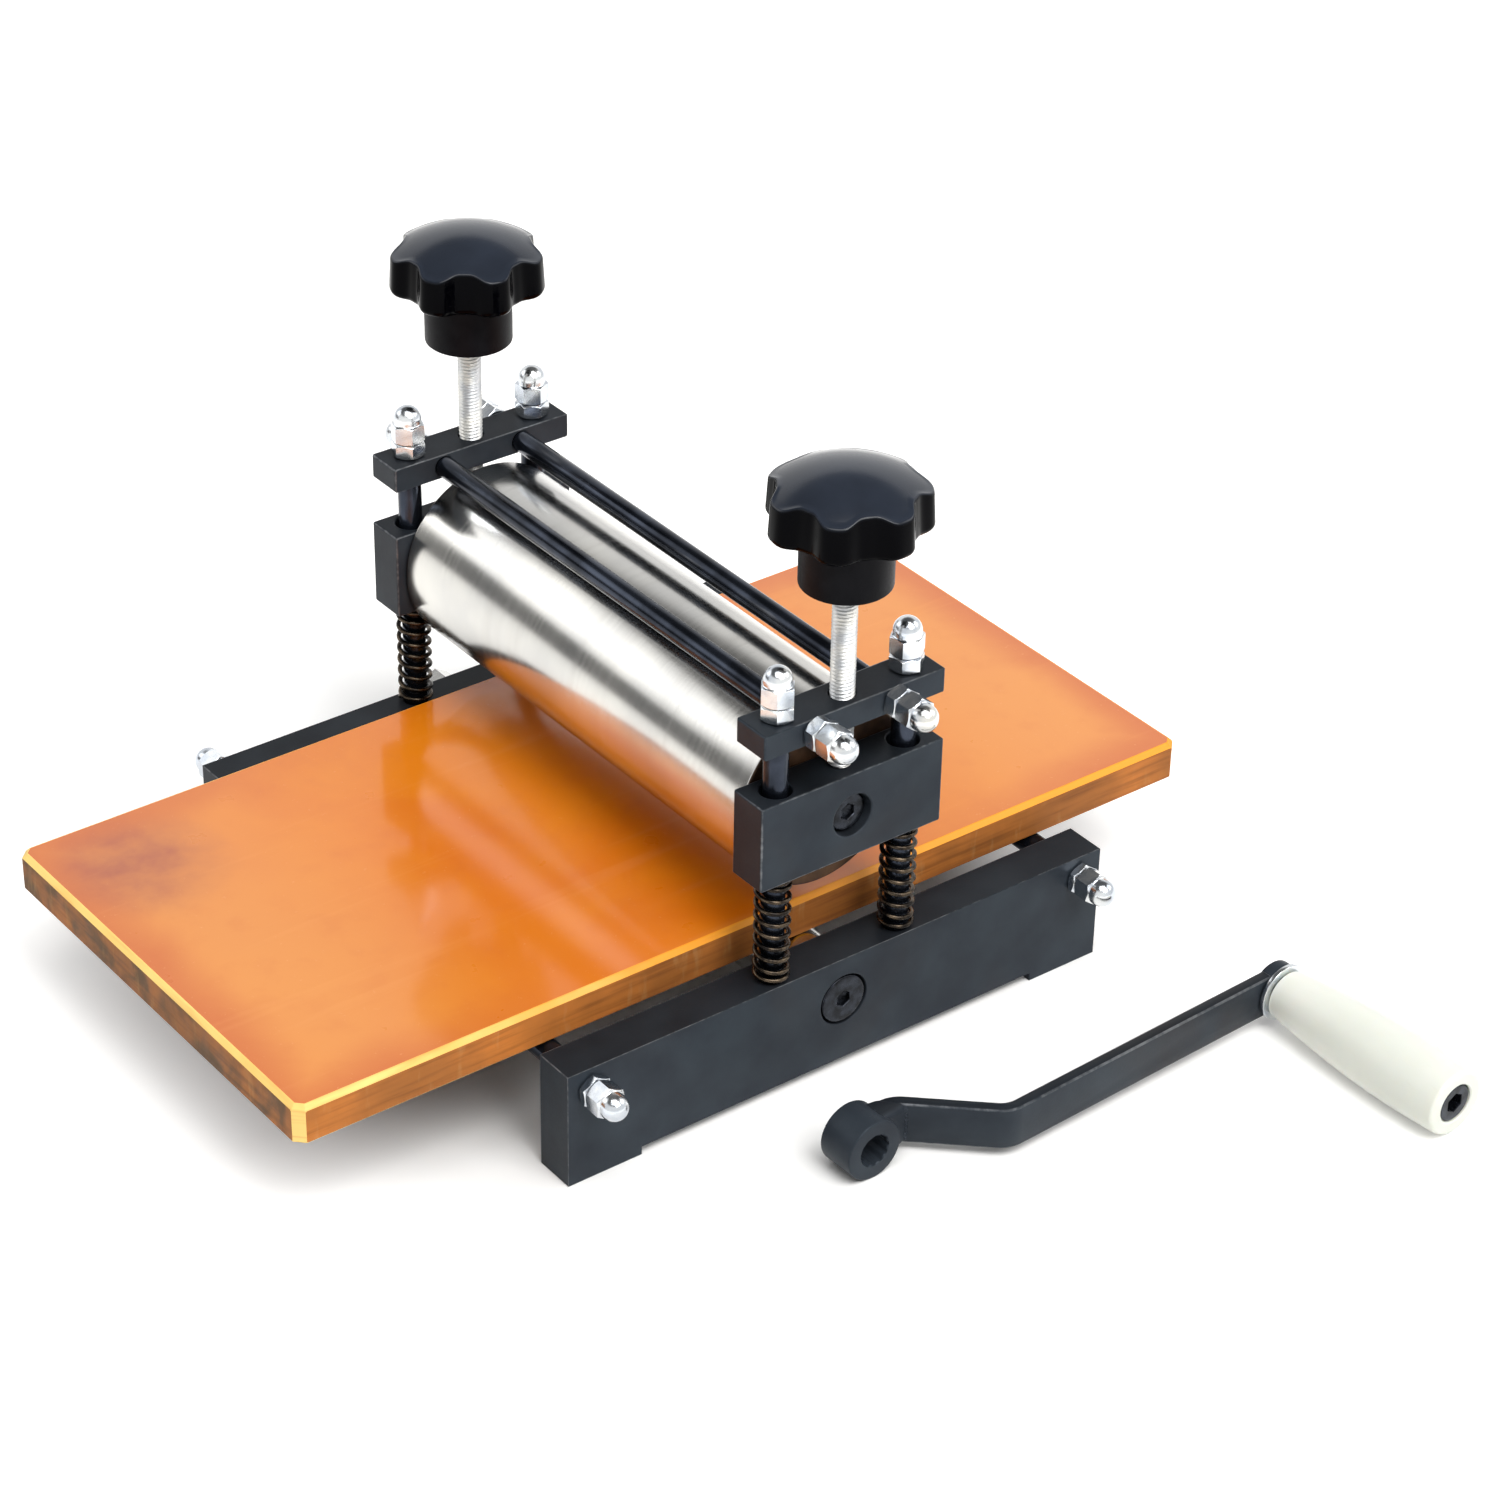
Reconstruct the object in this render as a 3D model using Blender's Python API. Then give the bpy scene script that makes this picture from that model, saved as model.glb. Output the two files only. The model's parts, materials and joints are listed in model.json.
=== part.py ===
# A small bench etching press, with its crank handle taken off and lying in front of it.
# A thick board slides between a lower roller, which the crank drives, and a sprung upper roller.
# Two screws with lobed knobs press the upper roller's blocks down their posts against the springs.
# X is the way the board travels, Y runs along the rollers, Z is up, and the floor is at zero.
# The near side is -Y, where the crank lies, and left is -X. All sizes are in metres.

import math

import bmesh
import bpy
from mathutils import Matrix, Vector

# Clearances, and lengths that only the modelling needs
touch_gap = 0.0003  # between pieces that rest on or fill one another
cut_overrun = 0.002  # how far a cutter runs past the face that it opens
weld = 0.000001

# Facets round each kind of piece
rod_sides = 12
bush_sides = 16
lower_roller_sides = 24
upper_roller_sides = 40
screw_sides = 18
grip_sides = 20
sharp_angle = math.radians(32)

# Bed board
bed_length = 0.350
bed_width = 0.170
bed_thickness = 0.0136
bed_chamfer = 0.0016
bed_lower_chamfer = 0.0004
bed_corner = 0.0032  # cut off each corner, along both its sides
bed_slid = -0.0139  # from the middle of its travel over the press

# Side plates
plate_length = 0.214
plate_thickness = 0.015
plate_height = 0.042
plate_bed_gap = 0.0075
foot_length = 0.028
foot_notch = 0.003
edge_break = 0.0008

# Standard small fasteners
stud_radius = 0.003
nut_flats = 0.010
cap_nut_height = 0.0126
cap_nut_hexagon = 0.0066
cap_nut_dome_radius = 0.00465
cap_nut_bore = 0.0078
cap_nut_dome_shares = (0, 0.4, 0.75)  # of the quarter circle up its dome
base_nut_height = 0.0030
post_nut_height = 0.0050
nut_face_share = 0.95  # of the width across flats
nut_chamfer_angle = math.radians(30)

# Lower roller, its bushes, end screw and drive stub
lower_radius = 0.0122
lower_axis_drop = 0.0158  # below the plates' tops
lower_end_gap = 0.0006
lower_journal_radius = 0.006
lower_bush_wall = 0.0026
lower_screw_head = 0.0032
lower_screw_recess = 0.0002
stub_length = 0.021
stub_flats = 0.010
stub_chamfer = 0.0006

# Upper roller, its bushes and end screws
upper_radius = 0.0325
upper_edge = 0.001
upper_end_gap = 0.00055
upper_journal_radius = 0.005
upper_bush_wall = 0.00175
upper_screw_head = 0.0024
upper_screw_recess = 0.0026

# End screws
screw_head_step = 0.0004  # the head is this much smaller than its bush all round
screw_edge = 0.0004
screw_shank_length = 0.010
screw_socket_flats = 0.005
screw_socket_depth = 0.0015

# Base tie rods
base_tie_radius = 0.004
base_tie_inset = 0.009  # from the plates' ends

# Posts and springs
post_radius = 0.004
post_spread = 0.025
post_setback = 0.0061  # from the plates' outer faces
post_socket_depth = 0.014
post_edge = 0.0005
spring_wire = 0.0016
spring_clearance = 0.0002
spring_height = 0.0397
spring_coil_gap = 0.00055
spring_turns = 9.5
spring_points = 8

# Upper blocks
block_length = 0.071
block_thickness = 0.0147
block_height = 0.0306
block_post_clearance = 0.00125

# Top bars and their tie rods
bar_length = 0.070
bar_thickness = 0.0144
bar_height = 0.0086
bar_clear_height = 0.0172  # from the blocks' tops to the bars
top_tie_radius = 0.0037
top_tie_spread = 0.0155

# Pressure screws and knobs
screw_radius = 0.004
screw_length = 0.078
screw_tip = 0.0006
knob_engaged = {"near": 0.0135, "far": 0.0165}  # how much of each screw is inside its knob
knob_turn = {"near": math.radians(16.5), "far": math.radians(2.6)}
knob_lobes = 7
knob_columns = 56
knob_radius = 0.0236
knob_lobe_height = 0.0018
knob_draft = 0.0006  # the skirt is wider by this at its lower edge
knob_dome_shares = (0.6, 0.3)
knob_edge_shares = (0, 0.5, 1)
knob_hub_radius = 0.01465
knob_hub_height = 0.019
knob_bore_depth = 0.0178
knob_wall = 0.003
knob_recess = 0.004
knob_skirt = 0.0135
knob_lower_round = 0.0024
knob_upper_round = 0.0012
knob_dome = 0.0072

# Crank: it lies on its hub and on its grip, with the socket facing away from the press
crank_slid = -0.0276
crank_stand_off = 0.0514  # from the near plate to the socket's mouth
crank_heading = math.radians(2.2)
crank_throw = 0.158
hub_radius = 0.0105
hub_length = 0.0138
hub_edge = 0.0006
socket_clearance = 0.00015
arm_thickness = 0.0043
arm_height = 0.015
arm_edge = 0.0005
arm_root_depth = 0.0093  # behind the socket's mouth
arm_root_length = 0.0145
arm_offset = 0.0261
arm_bend = math.radians(45)
arm_bend_radius = 0.009
arm_bend_steps = 3
neck_setback = 0.001  # behind the socket's mouth
neck_reach = 0.0064  # along the arm's step
eye_radius = 0.0088
eye_boss = 0.0003

# Grip, its bolt and washer
washer_radius = 0.010
washer_thickness = 0.0016
grip_length = 0.0747
grip_base_radius = 0.0084
grip_radius = 0.0122
grip_end_radius = 0.0115
grip_swell_share = 0.7  # how far along the grip is thickest
grip_steps = 8
grip_round = 0.0014
bolt_radius = 0.004
bolt_head_radius = 0.0065
bolt_head_height = 0.008
bolt_head_recess = 0.0006
bolt_socket_flats = 0.006
bolt_socket_depth = 0.004
bolt_end = 0.001  # beyond the eye

# Heights, worked out upwards from the floor
lower_axis_z = plate_height - lower_axis_drop
lower_top_z = lower_axis_z + lower_radius
bed_bottom_z = lower_top_z + touch_gap
bed_top_z = bed_bottom_z + bed_thickness
block_bottom_z = plate_height + spring_height
block_top_z = block_bottom_z + block_height
upper_axis_z = block_bottom_z + block_height / 2
bar_bottom_z = block_top_z + bar_clear_height
bar_top_z = bar_bottom_z + bar_height
top_tie_z = bar_bottom_z + bar_height / 2
base_tie_z = lower_top_z - base_tie_radius
screw_bottom_z = block_top_z + touch_gap
screw_top_z = screw_bottom_z + screw_length

# Places across the press, worked out outwards from the middle
plate_inner_y = bed_width / 2 + plate_bed_gap
plate_outer_y = plate_inner_y + plate_thickness
post_y = plate_outer_y - post_setback
block_inner_y = post_y - block_thickness / 2
block_outer_y = post_y + block_thickness / 2
bar_inner_y = post_y - bar_thickness / 2
bar_outer_y = post_y + bar_thickness / 2
base_tie_x = plate_length / 2 - base_tie_inset

# Bores, each from what it holds
stud_bore = stud_radius + touch_gap
lower_bush_bore = lower_journal_radius + touch_gap
lower_bush_radius = lower_bush_bore + lower_bush_wall
lower_plate_bore = lower_bush_radius + touch_gap
upper_bush_bore = upper_journal_radius + touch_gap
upper_bush_radius = upper_bush_bore + upper_bush_wall
upper_block_bore = upper_bush_radius + touch_gap
post_bore = post_radius + touch_gap
screw_bore = screw_radius + touch_gap
bolt_bore = bolt_radius + touch_gap

sides = {"near": -1, "far": 1}
ends = {"left": -1, "right": 1}

# Turns that point a piece's own Z outwards at each side
outward = {"near": (math.pi / 2, 0, 0), "far": (-math.pi / 2, 0, 0)}


def finish(name, colour, roughness, metallic):
    made = bpy.data.materials.new(name)
    made.use_nodes = True
    shader = made.node_tree.nodes["Principled BSDF"]
    shader.inputs["Base Color"].default_value = (*colour, 1)
    shader.inputs["Roughness"].default_value = roughness
    shader.inputs["Metallic"].default_value = metallic
    return made


def mesh_of(bm, name, material):
    """Turns a bmesh into a mesh with its faces outwards, smooth but for its sharp edges."""
    bmesh.ops.recalc_face_normals(bm, faces=bm.faces)
    mesh = bpy.data.meshes.new(name)
    bm.to_mesh(mesh)
    bm.free()
    mesh.materials.append(material)
    mesh.shade_smooth()
    mesh.set_sharp_from_angle(angle=sharp_angle)
    return mesh


def place(data, name, at=(0, 0, 0), turn=(0, 0, 0), frame=None):
    """Puts an object that shows this mesh or curve in its frame."""
    piece = bpy.data.objects.new(name, data)
    bpy.context.scene.collection.objects.link(piece)
    piece.location = at
    piece.rotation_euler = turn
    piece.parent = frame or press_frame
    return piece


def turned(profile, columns, ring=False):
    """Spins an outline of (radius, height) points round Z, from axis to axis or as a closed ring."""
    bm = bmesh.new()
    verts = [bm.verts.new((radius, 0, height)) for radius, height in profile]
    following = verts[1:] + verts[:1] if ring else verts[1:]
    edges = [bm.edges.new(pair) for pair in zip(verts, following)]
    bmesh.ops.spin(
        bm, geom=verts + edges, cent=(0, 0, 0), axis=(0, 0, 1), angle=math.tau, steps=columns, use_merge=True
    )
    bmesh.ops.remove_doubles(bm, verts=bm.verts, dist=weld)
    return bm


def section(radius, height, columns):
    """Points round Z, where the radius and the height are each a length or a rule for one at an angle."""
    points = []
    for column in range(columns):
        angle = math.tau * column / columns
        reach = radius(angle) if callable(radius) else radius
        rise = height(angle) if callable(height) else height
        points.append((reach * math.cos(angle), reach * math.sin(angle), rise))
    return points


def lofted(rings, ring=False):
    """Skins a row of sections, closed by a section of one point at each end or back into the first one."""
    bm = bmesh.new()
    made = [[bm.verts.new(point) for point in points] for points in rings]
    following = made[1:] + made[:1] if ring else made[1:]
    for lower, upper in zip(made, following):
        for column in range(max(len(lower), len(upper))):
            corners = [
                lower[column % len(lower)],
                lower[(column + 1) % len(lower)],
                upper[(column + 1) % len(upper)],
                upper[column % len(upper)],
            ]
            bm.faces.new(list(dict.fromkeys(corners)))
    return bm


def hexagon(flats, turn=0):
    """The rule for a hexagon's radius at an angle, with a flat at the angle of its turn."""
    sixth = math.tau / 6
    return lambda angle: flats / 2 / math.cos((angle - turn + sixth / 2) % sixth - sixth / 2)


def extruded(outline, direction):
    bm = bmesh.new()
    face = bm.faces.new([bm.verts.new(point) for point in outline])
    swept = bmesh.ops.extrude_face_region(bm, geom=[face])["geom"]
    top = [item for item in swept if isinstance(item, bmesh.types.BMVert)]
    bmesh.ops.translate(bm, verts=top, vec=direction)
    return bm


def bar_mesh(size, name, material):
    """A plain bar of these three sizes about its own middle."""
    bm = bmesh.new()
    bmesh.ops.create_cube(bm, size=1, matrix=Matrix.Diagonal((*size, 1)))
    return mesh_of(bm, name, material)


def break_edges(piece, width):
    bevel = piece.modifiers.new("broken edges", "BEVEL")
    bevel.width = width
    bevel.segments = 1
    bevel.limit_method = "ANGLE"
    bevel.use_clamp_overlap = True


def boolean(piece, helper, operation):
    """Joins or cuts a piece with a helper, which sits in its frame and isn't part of the press."""
    helper.hide_render = True
    helper.display_type = "WIRE"
    helper.parent = piece
    modifier = piece.modifiers.new(helper.name, "BOOLEAN")
    modifier.object = helper
    modifier.operation = operation
    modifier.solver = "EXACT"


def drill(piece, holes, columns):
    """Cuts round holes, each given by its radius, the middle of its length, its length and its direction."""
    bm = bmesh.new()
    for radius, middle, length, direction in holes:
        turn = Vector((0, 0, 1)).rotation_difference(Vector(direction)).to_matrix().to_4x4()
        bmesh.ops.create_cone(
            bm,
            cap_ends=True,
            segments=columns,
            radius1=radius,
            radius2=radius,
            depth=length,
            matrix=Matrix.Translation(middle) @ turn,
        )
    mesh = mesh_of(bm, piece.name + " drill", piece.data.materials[0])
    boolean(piece, place(mesh, mesh.name), "DIFFERENCE")


# Fasteners


def nut_rings(flats, height, bore):
    """Sections of a hexagonal nut from its lower face to its upper one, with both faces chamfered."""
    shape = hexagon(flats)
    face = flats / 2 * nut_face_share

    def chamfer(angle):
        return (shape(angle) - face) * math.tan(nut_chamfer_angle)

    return [
        section(bore, 0, rod_sides),
        section(face, 0, rod_sides),
        section(shape, chamfer, rod_sides),
        section(shape, lambda angle: height - chamfer(angle), rod_sides),
        section(face, height, rod_sides),
    ]


def nut_mesh(name, flats, height, bore, material):
    rings = nut_rings(flats, height, bore) + [section(bore, height, rod_sides)]
    return mesh_of(lofted(rings, ring=True), name, material)


def cap_nut_mesh(material):
    """A domed nut, bored from below, with a short neck under its dome."""
    dome_base = cap_nut_height - cap_nut_dome_radius
    rings = [[(0, 0, cap_nut_bore)], section(stud_bore, cap_nut_bore, rod_sides)]
    rings += nut_rings(nut_flats, cap_nut_hexagon, stud_bore)[:-1]
    rings.append(section(cap_nut_dome_radius, cap_nut_hexagon, rod_sides))
    for share in cap_nut_dome_shares:
        angle = share * math.pi / 2
        height = dome_base + cap_nut_dome_radius * math.sin(angle)
        rings.append(section(cap_nut_dome_radius * math.cos(angle), height, rod_sides))
    rings.append([(0, 0, cap_nut_height)])
    return mesh_of(lofted(rings), "cap_nut", material)


def socket_screw_mesh(name, sizes, material):
    """A round-headed screw, head up, with a hexagonal socket. Its head's underside is at height zero."""
    head, height, shank, length, flats, depth = sizes
    socket = hexagon(flats)
    rings = [
        [(0, 0, height - depth - screw_edge)],
        section(socket, height - depth, screw_sides),
        section(socket, height, screw_sides),
        section(head - screw_edge, height, screw_sides),
        section(head, height - screw_edge, screw_sides),
        section(head, 0, screw_sides),
        section(shank, 0, screw_sides),
        section(shank, -length, screw_sides),
        [(0, 0, -length)],
    ]
    return mesh_of(lofted(rings), name, material)


def rod_mesh(name, radius, half_length, stud_length, material):
    """A round rod about its middle, with a thinner stud at each end."""
    profile = [
        (0, -half_length - stud_length),
        (stud_radius, -half_length - stud_length),
        (stud_radius, -half_length),
        (radius, -half_length),
        (radius, half_length),
        (stud_radius, half_length),
        (stud_radius, half_length + stud_length),
        (0, half_length + stud_length),
    ]
    return mesh_of(turned(profile, rod_sides), name, material)


def bush_mesh(name, bore, radius, length, material):
    """A plain bush, its inner end at height zero."""
    profile = [(bore, 0), (radius, 0), (radius, length), (bore, length)]
    return mesh_of(turned(profile, bush_sides, ring=True), name, material)


# Base


def make_side_plates(material):
    """A bar on edge whose lower side is cut away between two feet."""
    half = plate_length / 2
    notch = half - foot_length
    outline = [
        (-half, 0, 0),
        (-notch, 0, 0),
        (-notch, 0, foot_notch),
        (notch, 0, foot_notch),
        (notch, 0, 0),
        (half, 0, 0),
        (half, 0, plate_height),
        (-half, 0, plate_height),
    ]
    through = plate_thickness + 2 * cut_overrun
    middle = plate_thickness / 2
    socket = post_socket_depth + cut_overrun
    for side, sign in sides.items():
        mesh = mesh_of(extruded(outline, (0, plate_thickness, 0)), side + "_side_plate", material)
        inner = plate_inner_y if sign > 0 else -plate_outer_y
        plate = place(mesh, mesh.name, (0, inner, 0))
        break_edges(plate, edge_break)
        drill(plate, [(lower_plate_bore, (0, middle, lower_axis_z), through, (0, 1, 0))], lower_roller_sides)
        holes = []
        for end in ends.values():
            holes.append((stud_bore, (end * base_tie_x, middle, base_tie_z), through, (0, 1, 0)))
            place_y = sign * post_y - inner
            place_z = plate_height + cut_overrun - socket / 2
            holes.append((post_bore, (end * post_spread, place_y, place_z), socket, (0, 0, 1)))
        drill(plate, holes, rod_sides)


def make_base_ties(rod_material, nut, cap_nut):
    """Two rods between the plates, level with the lower roller's top, so that they carry the bed too."""
    stud = plate_thickness + base_nut_height + cap_nut_bore + 2 * touch_gap
    mesh = rod_mesh("base_tie_rod", base_tie_radius, plate_inner_y - touch_gap, stud, rod_material)
    for end, direction in ends.items():
        x = direction * base_tie_x
        place(mesh, end + "_base_tie_rod", (x, 0, base_tie_z), outward["far"])
        for side, sign in sides.items():
            nut_y = plate_outer_y + touch_gap
            cap_y = nut_y + base_nut_height + touch_gap
            where = side + "_" + end
            place(nut, where + "_base_nut", (x, sign * nut_y, base_tie_z), outward[side])
            place(cap_nut, where + "_base_cap_nut", (x, sign * cap_y, base_tie_z), outward[side])


# Posts and springs


def make_posts(material, nut, cap_nut):
    """Posts sunk in the plates, with a shoulder under the top bars and a stud through them."""
    bottom = plate_height - post_socket_depth + touch_gap
    shoulder = bar_bottom_z - touch_gap - bottom
    nut_z = bar_top_z + touch_gap
    cap_z = nut_z + post_nut_height + touch_gap
    top = cap_z + cap_nut_bore - touch_gap - bottom
    profile = [
        (0, 0),
        (post_radius - post_edge, 0),
        (post_radius, post_edge),
        (post_radius, shoulder),
        (stud_radius, shoulder),
        (stud_radius, top),
        (0, top),
    ]
    mesh = mesh_of(turned(profile, rod_sides), "post", material)
    for side, sign in sides.items():
        for end, direction in ends.items():
            x = direction * post_spread
            y = sign * post_y
            where = side + "_" + end
            place(mesh, where + "_post", (x, y, bottom))
            place(nut, where + "_post_nut", (x, y, nut_z))
            place(cap_nut, where + "_post_cap_nut", (x, y, cap_z))


def spring_points_of(radius, height):
    """The wire's middle line: close turns at both ends, open ones between, and a straight tip at each end."""
    closed_pitch = spring_wire + spring_coil_gap
    open_turns = spring_turns - 2
    open_pitch = (height - 2 * closed_pitch) / open_turns
    count = round(spring_turns * spring_points)
    points = []
    for index in range(count + 1):
        turn = index / spring_points
        rise = min(turn, 1) * closed_pitch
        rise += min(max(turn - 1, 0), open_turns) * open_pitch
        rise += max(turn - 1 - open_turns, 0) * closed_pitch
        angle = math.tau * turn
        points.append(Vector((radius * math.cos(angle), radius * math.sin(angle), rise)))
    turn_end = math.tau * count / spring_points
    first_tip = points[0] - Vector((0, spring_wire, 0))
    last_tip = points[-1] + Vector((-math.sin(turn_end), math.cos(turn_end), 0)) * spring_wire
    return [first_tip] + points + [last_tip]


def least_wire_gap(points):
    """The least gap between two runs of the wire at least half a turn apart, read between its points."""
    nearest = math.inf
    for index, start in enumerate(points[:-1]):
        for later in range(index + spring_points // 2, len(points) - 1):
            a, b = points[later], points[later + 1]
            along = max(0, min(1, (start - a).dot(b - a) / (b - a).length_squared))
            nearest = min(nearest, (start - a - (b - a) * along).length)
    return nearest - spring_wire


def make_springs(material):
    """A spring round each post, from its plate to its block, which clears the post at its own flats."""
    radius = (post_radius + spring_clearance + spring_wire / 2) / math.cos(math.pi / spring_points)
    height = spring_height - 2 * touch_gap - spring_wire
    points = spring_points_of(radius, height)
    curve = bpy.data.curves.new("spring", "CURVE")
    curve.dimensions = "3D"
    curve.bevel_depth = spring_wire / 2
    curve.bevel_resolution = 1
    curve.use_fill_caps = True
    spline = curve.splines.new("POLY")
    spline.points.add(len(points) - 1)
    for target, point in zip(spline.points, points):
        target.co = (*point, 1)
    curve.materials.append(material)
    bottom = plate_height + touch_gap + spring_wire / 2
    for side, sign in sides.items():
        for end, direction in ends.items():
            place(curve, f"{side}_{end}_spring", (direction * post_spread, sign * post_y, bottom))
    print(f"least gap of a spring to itself: {least_wire_gap(points):.6f} m")


# Rollers


def make_lower_roller(roller_material, bush_material, screw_material):
    """The driven roller: its near journal is closed by a screw and its far one ends in a drive stub."""
    shoulder = plate_inner_y - lower_end_gap
    near_end = plate_outer_y - lower_screw_recess - lower_screw_head - touch_gap
    shank_bore = screw_shank_length + touch_gap
    stub = hexagon(stub_flats)
    stub_face = stub_flats / 2 - stub_chamfer
    stub_end = plate_outer_y + stub_length
    rings = [
        [(0, 0, shank_bore - near_end)],
        section(stud_bore, shank_bore - near_end, lower_roller_sides),
        section(stud_bore, -near_end, lower_roller_sides),
        section(lower_journal_radius, -near_end, lower_roller_sides),
        section(lower_journal_radius, -shoulder, lower_roller_sides),
        section(lower_radius, -shoulder, lower_roller_sides),
        section(lower_radius, shoulder, lower_roller_sides),
        section(lower_journal_radius, shoulder, lower_roller_sides),
        section(lower_journal_radius, plate_outer_y + touch_gap, lower_roller_sides),
        section(stub, plate_outer_y + touch_gap, lower_roller_sides),
        section(stub, stub_end - stub_chamfer, lower_roller_sides),
        section(stub_face, stub_end, lower_roller_sides),
        [(0, 0, stub_end)],
    ]
    mesh = mesh_of(lofted(rings), "lower_roller", roller_material)
    place(mesh, mesh.name, (0, 0, lower_axis_z), outward["far"])
    for side, length in (("near", near_end - plate_inner_y), ("far", plate_thickness)):
        bush = bush_mesh(side + "_lower_bush", lower_bush_bore, lower_bush_radius, length, bush_material)
        place(bush, bush.name, (0, sides[side] * plate_inner_y, lower_axis_z), outward[side])
    sizes = (
        lower_bush_radius - screw_head_step,
        lower_screw_head,
        stud_radius,
        screw_shank_length,
        screw_socket_flats,
        screw_socket_depth,
    )
    screw = socket_screw_mesh("near_lower_end_screw", sizes, screw_material)
    place(screw, screw.name, (0, -near_end - touch_gap, lower_axis_z), outward["near"])


def make_upper_roller(roller_material, bush_material, screw_material):
    """The pressing roller: a thick cylinder with a journal in each block, each closed by a sunk screw."""
    shoulder = block_inner_y - upper_end_gap
    end = block_outer_y - upper_screw_recess - upper_screw_head - touch_gap
    bore_bottom = end - screw_shank_length - touch_gap
    half = [
        (0, bore_bottom),
        (stud_bore, bore_bottom),
        (stud_bore, end),
        (upper_journal_radius, end),
        (upper_journal_radius, shoulder),
        (upper_radius - upper_edge, shoulder),
        (upper_radius, shoulder - upper_edge),
    ]
    profile = [(radius, -height) for radius, height in half] + half[::-1]
    mesh = mesh_of(turned(profile, upper_roller_sides), "upper_roller", roller_material)
    place(mesh, mesh.name, (0, 0, upper_axis_z), outward["far"])
    sizes = (
        upper_bush_radius - screw_head_step,
        upper_screw_head,
        stud_radius,
        screw_shank_length,
        screw_socket_flats,
        screw_socket_depth,
    )
    for side, sign in sides.items():
        length = end - block_inner_y
        bush = bush_mesh(side + "_upper_bush", upper_bush_bore, upper_bush_radius, length, bush_material)
        place(bush, bush.name, (0, sign * block_inner_y, upper_axis_z), outward[side])
        screw = socket_screw_mesh(side + "_upper_end_screw", sizes, screw_material)
        place(screw, screw.name, (0, sign * (end + touch_gap), upper_axis_z), outward[side])


def board_outline(inset, height):
    """The board's outline with its four cut corners, drawn in by an inset."""
    cut = bed_corner - inset * (2 - math.sqrt(2))
    x = bed_length / 2 - inset
    y = bed_width / 2 - inset
    return [
        (x - cut, -y, height),
        (x, -y + cut, height),
        (x, y - cut, height),
        (x - cut, y, height),
        (-x + cut, y, height),
        (-x, y - cut, height),
        (-x, -y + cut, height),
        (-x + cut, -y, height),
    ]


def make_bed(material):
    shapes = [
        (bed_lower_chamfer, 0),
        (0, bed_lower_chamfer),
        (0, bed_thickness - bed_chamfer),
        (bed_chamfer, bed_thickness),
    ]
    rings = [board_outline(inset, height) for inset, height in shapes]
    rings.insert(0, [(0, 0, 0)])
    rings.append([(0, 0, bed_thickness)])
    mesh = mesh_of(lofted(rings), "bed_board", material)
    place(mesh, mesh.name, (bed_slid, 0, bed_bottom_z))


# Head


def make_upper_blocks(material):
    """The upper roller's bearing blocks, which slide on the posts."""
    post_hole = post_radius + block_post_clearance
    across = block_thickness + 2 * cut_overrun
    upwards = block_height + 2 * cut_overrun
    for side, sign in sides.items():
        mesh = bar_mesh((block_length, block_thickness, block_height), side + "_upper_block", material)
        block = place(mesh, mesh.name, (0, sign * post_y, upper_axis_z))
        break_edges(block, edge_break)
        drill(block, [(upper_block_bore, (0, 0, 0), across, (0, 1, 0))], bush_sides)
        holes = [(post_hole, (end * post_spread, 0, 0), upwards, (0, 0, 1)) for end in ends.values()]
        drill(block, holes, rod_sides)


def make_top_bars(material):
    """A bar across each pair of posts, threaded for its pressure screw and bored for the tie rods' studs."""
    across = bar_thickness + 2 * cut_overrun
    upwards = bar_height + 2 * cut_overrun
    for side, sign in sides.items():
        mesh = bar_mesh((bar_length, bar_thickness, bar_height), side + "_top_bar", material)
        bar = place(mesh, mesh.name, (0, sign * post_y, top_tie_z))
        break_edges(bar, edge_break)
        holes = [(screw_bore, (0, 0, 0), upwards, (0, 0, 1))]
        for end in ends.values():
            holes.append((stud_bore, (end * post_spread, 0, 0), upwards, (0, 0, 1)))
            holes.append((stud_bore, (end * top_tie_spread, 0, 0), across, (0, 1, 0)))
        drill(bar, holes, rod_sides)


def make_top_ties(rod_material, nut, cap_nut):
    """Two rods over the upper roller that hold the top bars apart."""
    stud = bar_thickness + post_nut_height + cap_nut_bore + 2 * touch_gap
    mesh = rod_mesh("top_tie_rod", top_tie_radius, bar_inner_y - touch_gap, stud, rod_material)
    for end, direction in ends.items():
        x = direction * top_tie_spread
        place(mesh, end + "_top_tie_rod", (x, 0, top_tie_z), outward["far"])
        for side, sign in sides.items():
            nut_y = bar_outer_y + touch_gap
            cap_y = nut_y + post_nut_height + touch_gap
            where = side + "_" + end
            place(nut, where + "_tie_nut", (x, sign * nut_y, top_tie_z), outward[side])
            place(cap_nut, where + "_tie_cap_nut", (x, sign * cap_y, top_tie_z), outward[side])


def make_pressure_screws(material):
    """The screws that press the blocks down. Each stands on its block and ends inside its knob."""
    profile = [
        (0, 0),
        (screw_radius - screw_tip, 0),
        (screw_radius, screw_tip),
        (screw_radius, screw_length),
        (0, screw_length),
    ]
    mesh = mesh_of(turned(profile, bush_sides), "pressure_screw", material)
    for side, sign in sides.items():
        place(mesh, side + "_pressure_screw", (0, sign * post_y, screw_bottom_z))


def lobed(inset):
    """The rule for the radius of the knob's outline at an angle, drawn in by an inset."""

    def radius(angle):
        wave = math.cos(knob_lobes * angle)
        full_wave = (3 * wave - wave**3) / 2
        return knob_radius - inset + knob_lobe_height * full_wave

    return radius


def dome_height(radius):
    return knob_hub_height + knob_skirt + knob_dome * (1 - (radius / knob_radius) ** 2)


def skirt_foot(turn):
    """The skirt's outline and height part of the way round its lower edge."""
    inset = knob_lower_round * (1 - math.sin(turn)) - knob_draft
    return lobed(inset), knob_hub_height + knob_lower_round * (1 - math.cos(turn))


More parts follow.
